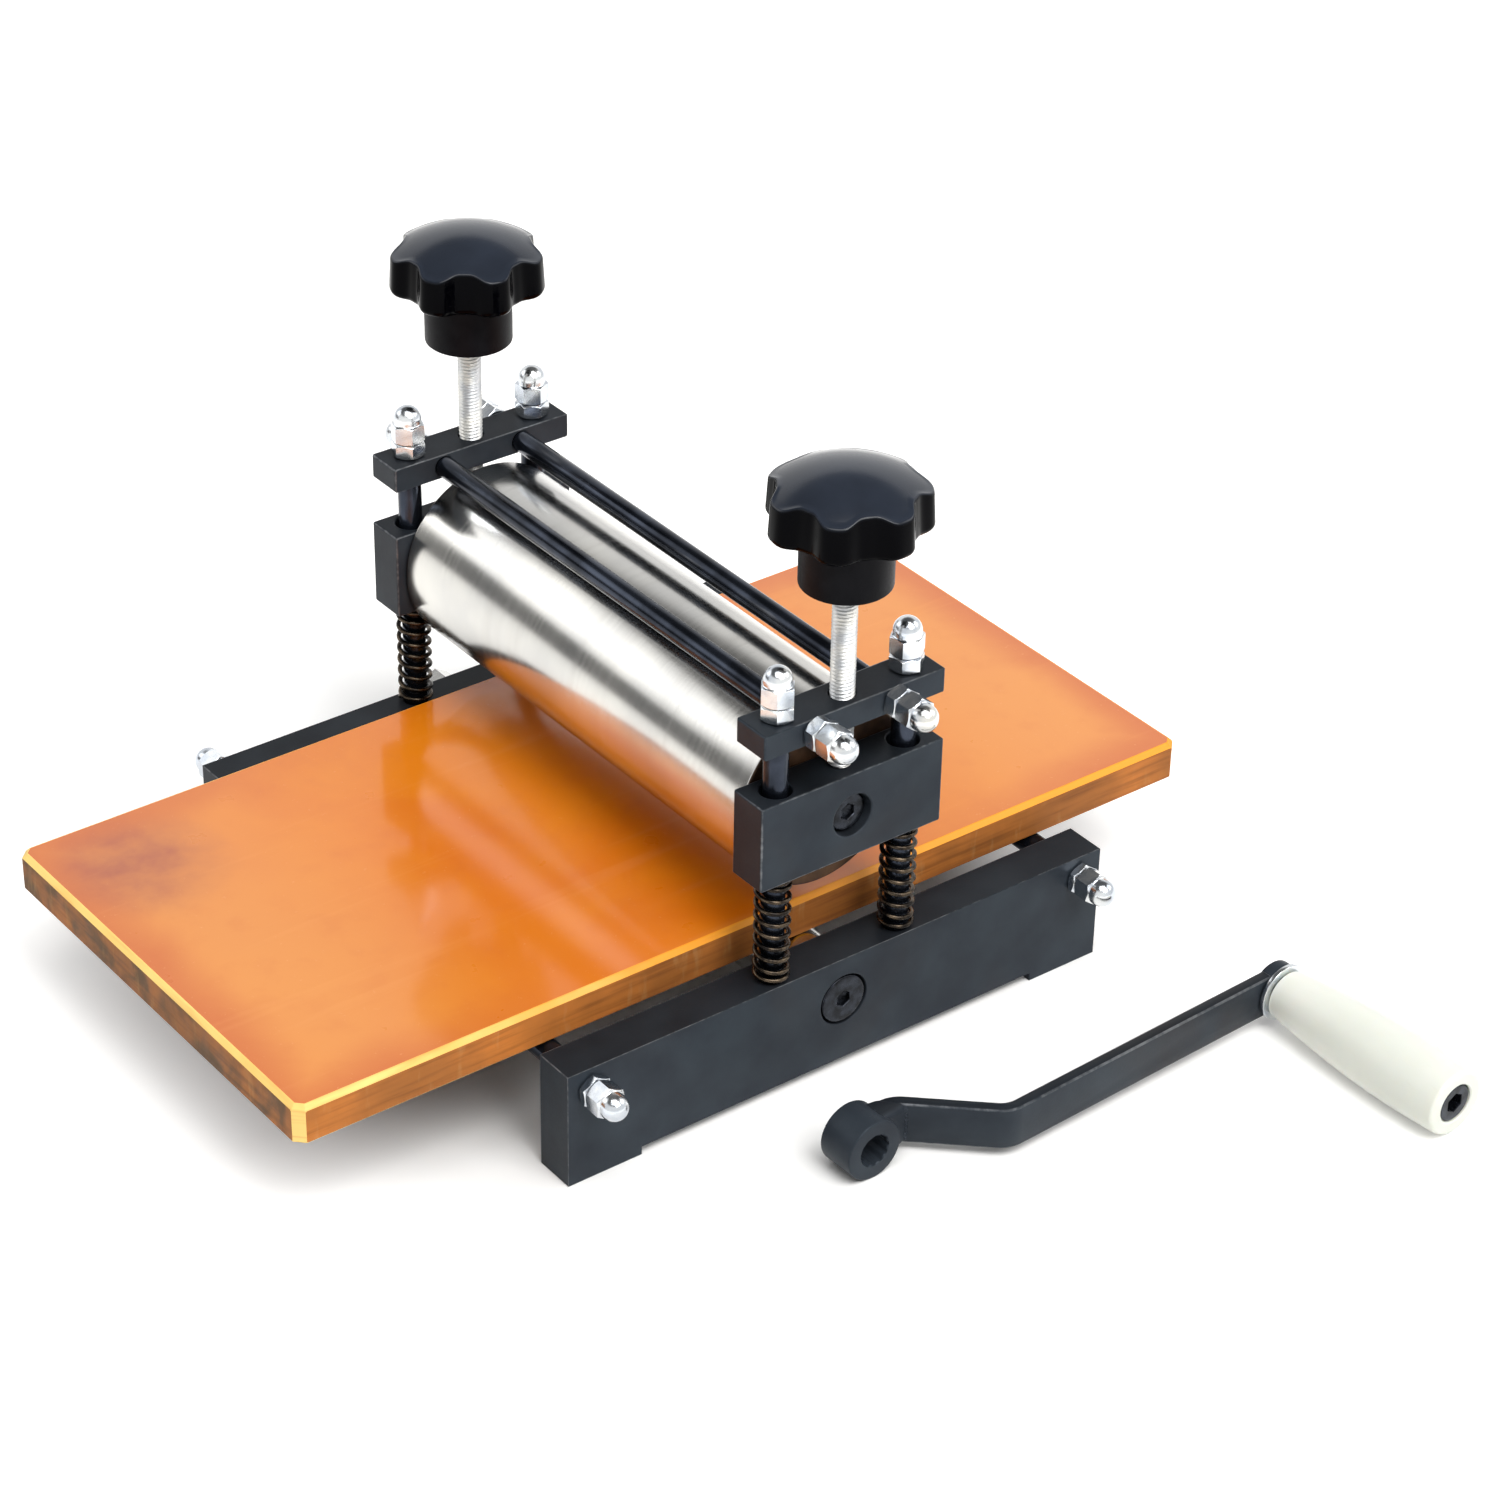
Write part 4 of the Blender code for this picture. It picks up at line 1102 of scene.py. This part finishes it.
def makeEndScrew(side, level, body):
    node = f"{side}_{level}_end_screw"
    spot, half = measured(node)[2:]
    sign, sizes = sideSigns[side], endScrewSizes
    sizes = sizes | {"head": half.x, "height": sizes["heights"][level]}
    place = facing(side, (spot.x, spot.y - sign * half.y + sign * sizes["length"], spot.z))
    makeSocketScrew(f"{side}{level.title()}EndScrew", node, place, body, sizes)


makeUpperRoller()
makeLowerRoller()
for side in sideSigns:
    makeBush(side, "lower", "frame")
    makeBush(side, "upper", "head")
    makeEndScrew(side, "upper", "press_roller")
makeEndScrew("near", "lower", "drive")
print("rollers, bushes and end screws are made")


# Bed board


boardSizes = {"chamfer": 0.0016, "lower chamfer": 0.0004, "corner": 0.0032, "round": 0.0003}


def boardRing(low, high, inset, height):
    cut = boardSizes["corner"] - inset * (2 - sqrt(2))
    x0, x1 = low.x + inset, high.x - inset
    y0, y1 = low.y + inset, high.y - inset
    outline = [(x1 - cut, y0), (x1, y0 + cut), (x1, y1 - cut), (x1 - cut, y1)]
    outline += [(x0 + cut, y1), (x0, y1 - cut), (x0, y0 + cut), (x0 + cut, y0)]
    return [(x, y, height) for x, y in outline]


def makeBoard():
    upper, lower = boardSizes["chamfer"], boardSizes["lower chamfer"]
    low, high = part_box("bed_board")
    shapes = [(lower, low.z), (0, low.z + lower), (0, high.z - upper), (upper, high.z)]
    board = stacked("bedBoard", [boardRing(low, high, *shape) for shape in shapes])
    bevelled(board, boardSizes["round"], 2, 20)
    finishPiece(board, "bed", [boardTop, boardChamfer, boardEdge], "board", "bed_board")
    for face in board.data.polygons:
        x, y, z = (abs(part) for part in face.normal)
        if z < 0.98:
            face.material_index = 2 if z < 0.35 and max(x, y) > 0.97 else 1
        elif face.center.z < low.z + upper:
            face.material_index = 2


makeBoard()
print("the board is made")


# Pressure screws and knobs


screwSizes = {"pitch": 0.00125, "depth": 0.00062, "rows per turn": 9, "columns": 44}
knobSizes = {
    "radius": 0.0236,
    "lobe": 0.0018,
    "lobes": 7,
    "columns": 280,
    "hub radius": 0.01465,
    "hub height": 0.019,
    "hub round": 0.0007,
    "bore": 0.0043,
    "bore depth": 0.0178,
    "wall": 0.003,
    "recess": 0.004,
    "skirt": 0.0135,
    "dome": 0.0072,
    "dome rows": 14,
    "draft": 0.0006,
    "chamfer": 0.0004,
    "foot round": 0.0024,
    "rim round": 0.0012,
    "turn": {"near": 16.5, "far": 2.6},
}


def makePressureScrews():
    sizes = screwSizes
    tree = threadTree()
    for side in sideSigns:
        node = side + "_pressure_screw"
        low, high, spot, half = measured(node)
        length = high.z - low.z
        rows = round(length / sizes["pitch"] * sizes["rows per turn"])
        inputs = {"Radius": half.x, "Depth": sizes["depth"], "Pitch": sizes["pitch"], "Length": length}
        inputs |= {"Rows": rows, "Columns": sizes["columns"], "Finish": zincThread}
        screw = grown(side + "PressureScrew", placesMesh([standing(spot)]), tree, inputs)
        smoothed(screw.data, 60)
        finishPiece(screw, side + "_screw", [zincThread], "zinc", node)


def knobProfile():  # points with how far each follows the lobes and the dome
    sizes = knobSizes
    radius, hubRadius, hubTop = sizes["radius"], sizes["hub radius"], sizes["hub height"]
    roof, inner = hubTop + sizes["recess"], radius - sizes["wall"]
    bore, depth = sizes["bore"], sizes["bore depth"]
    foot, rim, rows = sizes["foot round"], sizes["rim round"], sizes["dome rows"]

    def domeHeight(reach):
        return hubTop + sizes["skirt"] + sizes["dome"] * (1 - (reach / radius) ** 2)

    hub = roundCorners([(bore, depth), (bore, 0), (hubRadius, 0), (hubRadius, roof)], sizes["hub round"])
    skirt = [(inner, roof), (inner, hubTop + sizes["chamfer"]), (inner + sizes["chamfer"] * 0.75, hubTop)]
    skirt += arc(radius + sizes["draft"] - foot, hubTop + foot, foot, -1, 0, 6)
    edge = arc(radius - rim, domeHeight(radius - rim) - rim, rim, 0, 1, 6)
    points = [(*point, 0, 0) for point in [(0, depth), *hub]]
    points += [(*point, 1, 0) for point in skirt] + [(*point, 1, 1) for point in edge]
    for share in (1 - row / rows for row in range(1, rows + 1)):
        reach = (radius - rim) * share
        points.append((reach, domeHeight(reach), share, 1))
    return points


def makeKnobs():
    sizes = knobSizes
    tree = knobTree()
    points = knobProfile()
    shares = {"lobe": [point[2] for point in points], "dome": [point[3] for point in points]}
    inputs = {"Radius": sizes["radius"], "Lobe height": sizes["lobe"], "Lobes": sizes["lobes"]}
    inputs |= {"Dome": sizes["dome"], "Columns": sizes["columns"], "Finish": glossyPlastic}
    for side in sideSigns:
        node = side + "_knob"
        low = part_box(node)[0]
        screw = centre(side + "_pressure_screw")
        place = standing((screw.x, screw.y, low.z), sizes["turn"][side])
        guide = newPiece("guide", profileMesh([point[:2] for point in points], shares))
        knob = grown(side + "Knob", placesMesh([place]), tree, inputs | {"Profile": guide})
        bpy.data.objects.remove(guide)
        mesh = knob.data
        smoothed(mesh, 40)
        # how far each point faces up: it sets the knob top's painted sheen and its coat
        dome = mesh.attributes.new("dome", "FLOAT", "POINT")
        dome.data.foreach_set("value", [max(0, vertex.normal.z) ** 2 for vertex in mesh.vertices])
        finishPiece(knob, side + "_screw", [glossyPlastic, mattPlastic], "black_plastic", node)
        matt = mesh.materials.find(mattPlastic.name)
        top = low.z + sizes["hub height"] + sizes["recess"] + 0.001
        for face in mesh.polygons:
            reach = hypot(face.center.x - screw.x, face.center.y - screw.y)
            if reach < sizes["hub radius"] + 0.0001 and face.center.z < top:
                face.material_index = matt


makePressureScrews()
makeKnobs()
print("pressure screws and knobs are made")


# Crank


crankSizes = {
    "throw": 0.158,
    "hub": 0.0105,
    "hub wall": 0.003,
    "hub length": 0.0138,
    "arm": 0.0043,
    "height": 0.015,
    "root depth": 0.0093,
    "root": 0.0145,
    "offset": 0.0261,
    "bend": radians(45),
    "bend radius": 0.009,
    "bend steps": 14,
    "eye": 0.0088,
    "boss": 0.0003,
    "socket": 0.0103,
    "edge": 0.0006,
    "socket mouth": 0.0003,
    "socket chamfer": 0.0004,
    "bore sides": 48,
    "hub columns": 144,
    "bolt bore": 0.0043,
    "washer": 0.0016,
    "washer radius": 0.010,
    "washer round": 0.0003,
    "ring columns": 96,
}
neckSizes = {"setback": 0.001, "reach": 0.0064, "edge": 0.0005, "round": 0.0022}
weldSizes = {
    "rings": 90,
    "columns": 20,
    "radius": 0.0009,
    "width": 1.3,  # how much wider than deep it is
    "lumps": 0.0005,
    "lumps along": 16,
    "step": 0.0164,
    "inset": 0.0004,
}
spatterSizes = {
    "seed": 7,
    "density": 190000,
    "least": 0.0001,
    "most": 0.00034,
    "sunk": 0.00003,
    "turns": [28 + 10 * step for step in range(7)],
    "span": (0.0015, 0.0125),
}
gripSizes = {
    "length": 0.0747,
    "base": 0.0084,
    "middle": 0.0122,
    "end": 0.0115,
    "swell": 0.7,  # where along it the grip is thickest
    "steps": 40,
    "columns": 128,
    "round": 0.0014,
    "bore": 0.0068,
    "bore chamfer": 0.0004,
}
boltSizes = {
    "head": 0.0065,
    "height": 0.008,
    "sunk": 0.0006,
    "shank": 0.004,
    "beyond": 0.001,  # how far it stands out of the eye
    "socket": 0.006,
    "depth": 0.004,
}
eyeDepth = crankSizes["arm"] + 2 * crankSizes["boss"]
eyeFront = crankSizes["root depth"] - crankSizes["offset"] - eyeDepth / 2
gripY = eyeFront - crankSizes["washer"] - 2 * seatGap
hubHole = (crankSizes["hub"] - crankSizes["hub wall"], (0, -1, 0), (0, 1, 0))


def crankMatrix():  # the crank's own frame: X along its arm, -Y out of the grip, from where the grip turns
    joint = next(item for item in frame["joints"] if item["name"] == "grip_turn")
    yAxis = -Vector(joint["axis"])
    tilt = asin((gripSizes["middle"] - crankSizes["hub"]) / crankSizes["throw"])
    level = Vector((yAxis.y, -yAxis.x, 0))
    xAxis = level * cos(tilt) + Vector((0, 0, sin(tilt)))
    turn = Matrix((xAxis, yAxis, xAxis.cross(yAxis))).transposed()
    spot = Vector(joint["pos_m"]) - turn @ Vector((crankSizes["throw"], gripY, 0))
    return Matrix.Translation(spot) @ turn.to_4x4()


crankPlace = crankMatrix()


def onThrow(y):  # a place on the grip's axis whose Z points out of the grip
    return crankPlace @ facing("near", (crankSizes["throw"], y, 0))


def armLine():  # the arm's middle line with the normal at each point
    sizes = crankSizes
    bend, radius, steps, depth = sizes["bend"], sizes["bend radius"], sizes["bend steps"], sizes["root depth"]
    farY = depth - sizes["offset"]
    run = radius * tan(bend / 2)
    second = Vector((sizes["root"] + sizes["offset"] / tan(bend), farY))
    heading = Vector((cos(bend), -sin(bend)))
    firstMiddle = Vector((sizes["root"] - run, depth - radius))
    secondMiddle = second - heading * run + Vector((sin(bend), cos(bend))) * radius
    turns = [bend * step / steps for step in range(steps + 1)]
    line = [(Vector((0, depth)), Vector((0, 1)))]
    for middle, reach, angles in ((firstMiddle, radius, turns), (secondMiddle, -radius, turns[::-1])):
        for angle in angles:
            normal = Vector((sin(angle), cos(angle)))
            line.append((middle + normal * reach, normal))
    line.append((Vector((sizes["throw"] - sizes["eye"] / 2, farY)), Vector((0, 1))))
    return line


def makeArm():
    sizes = crankSizes
    half, height, bore = sizes["arm"] / 2, sizes["height"], sizes["bolt bore"]
    line = armLine()
    outline = [point + normal * half for point, normal in line]
    outline += [point - normal * half for point, normal in line[::-1]]
    arm = extruded("crankArm", [(*point, -height / 2) for point in outline], (0, 0, height))
    bevelled(arm, sizes["edge"], 3, 40)
    rings = roundCorners(tube(bore, sizes["eye"], 0, eyeDepth), sizes["edge"], ring=True)
    eye = lathe("crankEye", rings, sizes["ring columns"], facing("far", (sizes["throw"], eyeFront, 0)))
    eyeHole = (bore + 0.001, (sizes["throw"], -1, 0), (sizes["throw"], 1, 0))
    bored(arm, [eyeHole, hubHole], sizes["bore sides"])
    parts = (arm, eye, makeHub(), makeNeck())
    for part in parts:
        part.data.transform(crankPlace)
    joined("crankArm", *parts)
    steel = blackSteel("crankSteel", rust=0.6, shift=(6, 0, 0))
    finishPiece(arm, "frame", [steel], "black_steel", "crank_arm")
    return steel


def makeHub():  # its socket has twelve points
    sizes = crankSizes
    one, other = hexagonal(sizes["socket"]), hexagonal(sizes["socket"], tau / 12)
    radius, length, chamfer = sizes["hub"], sizes["hub length"], sizes["socket chamfer"]

    def star(angle):
        return max(one(angle), other(angle))

    def mouth(angle):
        return min(star(angle) + sizes["socket mouth"], sizes["socket"] * 0.56)

    outer = roundCorners(tube(radius - sizes["hub wall"], radius, 0, length), sizes["edge"], 4)
    rings = [(star, chamfer), (mouth, 0), *outer, (mouth, length), (star, length - chamfer)]
    return lathe("crankHub", rings, sizes["hub columns"], facing("far"), ring=True)


def joined(name, piece, *others):
    bm = bmesh.new()
    for part in (piece, *others):
        bm.from_mesh(part.data)
    mesh = bpy.data.meshes.new(name)
    bm.to_mesh(mesh)
    bm.free()
    piece.data = mesh
    for part in others:
        bpy.data.objects.remove(part)
    smoothed(mesh)


def makeNeck():  # narrows from the hub to the arm's step, seen from above and from the side
    sizes, neck = crankSizes, neckSizes
    bend = sizes["bend"]
    endX = sizes["root"] + neck["reach"] * cos(bend)
    endY = sizes["root depth"] - neck["reach"] * sin(bend)
    backX = sizes["root"] - sizes["bend radius"] * tan(bend / 2)
    backY = sizes["root depth"] + sizes["arm"] / 2 + sizes["edge"]
    outline = [(0, neck["setback"]), (endX, endY), (backX, backY), (0, backY)]
    start, end = sizes["hub"] - sizes["edge"], sizes["height"] / 2 - neck["edge"]
    touch = atan2(end, endX) + acos(start / hypot(endX, end))
    rows = []
    for side in (-1, 1):
        rows.append([(x, y, side * (start - x * cos(touch)) / sin(touch)) for x, y in outline])
    piece = stacked("crankNeck", rows)
    bevelled(piece, neck["round"], 6, 20, worn=False)
    bored(piece, [hubHole], sizes["bore sides"])
    return piece


def makeWeld(steel):  # a lumpy bead down the joint between the neck and the arm's step
    sizes, crank = weldSizes, crankSizes
    x, inset = sizes["step"], sizes["inset"]
    y = crank["root depth"] - (x - crank["root"]) - crank["arm"] / 2 / cos(crank["bend"]) + inset
    half = crank["height"] / 2 - inset
    rows = []
    for ring in range(sizes["rings"] + 1):
        share = ring / sizes["rings"]
        taper = sqrt(max(0.02, 1 - abs(2 * share - 1) ** 6))
        row = []
        for column in range(sizes["columns"]):
            angle = tau * column / sizes["columns"]
            across, up = cos(angle), sin(angle)
            lump = noise.fractal(Vector((across, up, share * sizes["lumps along"])), 1, 2, 4)
            radius = (sizes["radius"] + lump * sizes["lumps"]) * taper
            row.append((x + radius * sizes["width"] * across, y + radius * up, (share * 2 - 1) * half))
        rows.append(row)
    weld = stacked("crankWeld", rows, crankPlace)
    smoothed(weld.data, 50)
    finishPiece(weld, "frame", [steel], "black_steel")


def makeSpatter(steel):
    sizes = spatterSizes
    radius = crankSizes["hub"] - sizes["sunk"]
    bm = bmesh.new()
    rows = []
    for angle in map(radians, sizes["turns"]):
        spots = [(radius * cos(angle), y, radius * sin(angle)) for y in sizes["span"]]
        rows.append([bm.verts.new(spot) for spot in spots])
    for lower, upper in zip(rows, rows[1:]):
        bm.faces.new([lower[0], lower[1], upper[1], upper[0]])
    host = meshOf(bm, "patch", crankPlace)
    inputs = {label: sizes[label.lower()] for label in ("Density", "Seed", "Least", "Most")}
    drops = grown("weldSpatter", host, spatterTree(), inputs | {"Finish": steel})
    smoothed(drops.data, 60)
    finishPiece(drops, "frame", [steel], "black_steel")


def makeGrip():
    sizes = gripSizes
    base, middle, end, swell = (sizes[part] for part in ("base", "middle", "end", "swell"))
    length, turn, wide, bore = sizes["length"], sizes["round"], sizes["bore"], crankSizes["bolt bore"]
    straight, floor = length - turn, length - boltSizes["height"] - boltSizes["sunk"] - seatGap
    steps, chamfer = sizes["steps"], sizes["bore chamfer"]
    profile = [(bore, 0), (base - 0.0008, 0), (base, 0.0006)]
    for share in (step / steps for step in range(2, steps + 1)):
        reach = base + (middle - base) * sin(pi / 2 * share / swell)
        if share >= swell:
            reach = middle - (middle - end) * ((share - swell) / (1 - swell)) ** 2
        profile.append((reach, straight * share))
    profile += arc(end - turn, straight, turn, 0, 1, 8)[1:-1]
    profile += [(end - turn - 0.0002, length), (wide + chamfer, length), (wide, length - chamfer)]
    profile += [(wide, floor), (bore, floor)]
    grip = lathe("crankGrip", profile, sizes["columns"], onThrow(gripY), True)
    finishPiece(grip, "grip", [ivoryPlastic], "ivory_plastic", "crank_grip")


def makeWasherAndBolt():
    sizes = crankSizes
    section = tube(sizes["bolt bore"], sizes["washer radius"], 0, sizes["washer"])
    rings = roundCorners(section, sizes["washer round"], ring=True)
    washer = lathe("gripWasher", rings, sizes["ring columns"], onThrow(eyeFront - seatGap), True)
    finishPiece(washer, "frame", [zincPlate], "zinc", "grip_washer")
    seat = gripY - gripSizes["length"] + boltSizes["sunk"] + boltSizes["height"]
    shank = {"length": eyeFront + eyeDepth + boltSizes["beyond"] - seat}
    makeSocketScrew("gripBolt", "grip_bolt", onThrow(seat), "frame", boltSizes | shank)


crankSteel = makeArm()
makeWeld(crankSteel)
makeSpatter(crankSteel)
makeGrip()
makeWasherAndBolt()
print("the crank is made")


# Floor, light and camera


studio = {
    "floor": tint(247, 246, 244),
    "lamps": {  # where each stands, its size and its power
        "key": ((0.1, -1.75, 2.2), (1.6, 1.6), 49),
        "top": ((-0.5, -0.8, 2.5), (1.8, 1.8), 36),
        "side": ((1.7, -0.9, 1.5), (1.2, 1.2), 10),
        "back": ((-1.02, 1.4, 1.08), (1.1, 1.1), 4.2),
    },
    "floor reach": 4,
    "floor glow": (0, 0.36),  # under the press and away from it
    "glow reach": (0.1, 0.17),
    "horizon": (0.7, 2.5),  # where the floor turns white to the camera
    "ambient": [(0, 0.05), (0.35, 0.18), (0.7, 0.42), (1, 0.5)],
    "sky": [(0, 1), (0.5, 1), (0.6, 0.85), (0.66, 0.2), (0.74, 0.12), (1, 0.1)],  # by its height's sine
    "wall": ((-0.74, 0.68, 0.02), 0.24, 0.42, 0.8),  # a dark stretch: where, its two reaches, its depth
    "camera": (-0.6672, -0.8768, 0.8071),
    "yaw": 37.702,
    "pitch": 32.648,
    "roll": 1.1625,
    "lens": 99.9,
}


def seenDirectly(nodes):  # 1 for what the camera, a reflection or a clear body looks at
    path = nodes.add("ShaderNodeLightPath", output="Is Camera Ray")
    return path.most(path["Is Glossy Ray"]).most(path["Is Transmission Ray"])


def makeFloor():
    mesh = bpy.data.meshes.new("floor")
    reach = studio["floor reach"]
    square = [(reach * x, reach * y, 0) for x, y in ((-1, -1), (1, -1), (1, 1), (-1, 1))]
    mesh.from_pydata(square, [], [(0, 1, 2, 3)])

    def recipe(nodes):
        x = coordinates(nodes)
        y = x["Y"]
        away = abs(x).most(abs(y) * 0.6).between(*studio["glow reach"])
        horizon = ((x * x + y**2) ** 0.5).between(*studio["horizon"]) * nodes.add("ShaderNodeLightPath")
        under, around = ((level,) * 3 for level in studio["floor glow"])
        glow = seenDirectly(nodes).mixed((0, 0, 0), away.mixed(under, around))
        return {
            "Base Color": (grain(nodes, 3, 2) * 0.2).mixed(studio["floor"], tint(240, 240, 238)),
            "Roughness": 0.9,
            "Emission Color": horizon.mixed(glow, (1, 1, 1)),
            "Emission Strength": 1,
        }

    mesh.materials.append(material("floorPaper", recipe))
    newPiece("floor", mesh)


def makeLight(name, spot, target, size, power):
    light = bpy.data.lights.new(name, "AREA")
    light.shape = "RECTANGLE"
    light.size, light.size_y = size
    light.energy = power
    lamp = newPiece(name, light)
    lamp.location = spot
    lamp.rotation_euler = (Vector(target) - Vector(spot)).to_track_quat("-Z", "Y").to_euler()


def makeWorld():
    world = bpy.data.worlds.new("studio")
    world.use_nodes = True
    nodes = Nodes(world.node_tree)
    direction = nodes.add("ShaderNodeTexCoord", output="Generated")
    height = nodes.add("ShaderNodeSeparateXYZ", {"Vector": direction}, "Z")

    def gradient(name):
        stops = [(sine, (level,) * 3) for sine, level in studio[name]]
        return nodes.add("ShaderNodeValToRGB", {"Fac": height.most(0)}, stops=stops)

    spot, inner, outer, depth = studio["wall"]
    off = nodes.add("ShaderNodeVectorMath", {0: direction, 1: spot}, "Value", operation="DISTANCE")
    shade = off.between(inner, outer, depth, 0) * (1 - nodes.add("ShaderNodeLightPath"))
    sky = seenDirectly(nodes).mixed(gradient("ambient"), shade.mixed(gradient("sky"), (0, 0, 0)))
    nodes.feed(world.node_tree.nodes["Background"].inputs["Color"], sky)
    bpy.context.scene.world = world


def makeCamera():
    data = bpy.data.cameras.new("camera")
    data.lens = studio["lens"]
    data.sensor_width = 36
    data.clip_start, data.clip_end = 0.05, 20
    camera = newPiece("camera", data)
    place = Matrix.Translation(studio["camera"])
    for angle, axis in ((-studio["yaw"], "Z"), (90 - studio["pitch"], "X"), (studio["roll"], "Z")):
        place = place @ Matrix.Rotation(radians(angle), 4, axis)
    camera.matrix_world = place
    bpy.context.scene.camera = camera


makeFloor()
makeWorld()
for name, (spot, size, power) in studio["lamps"].items():
    makeLight(name, spot, (0, 0, 0.05), size, power)
makeCamera()
bpy.context.scene.view_settings.view_transform = "Standard"
print("floor, light and camera are set")
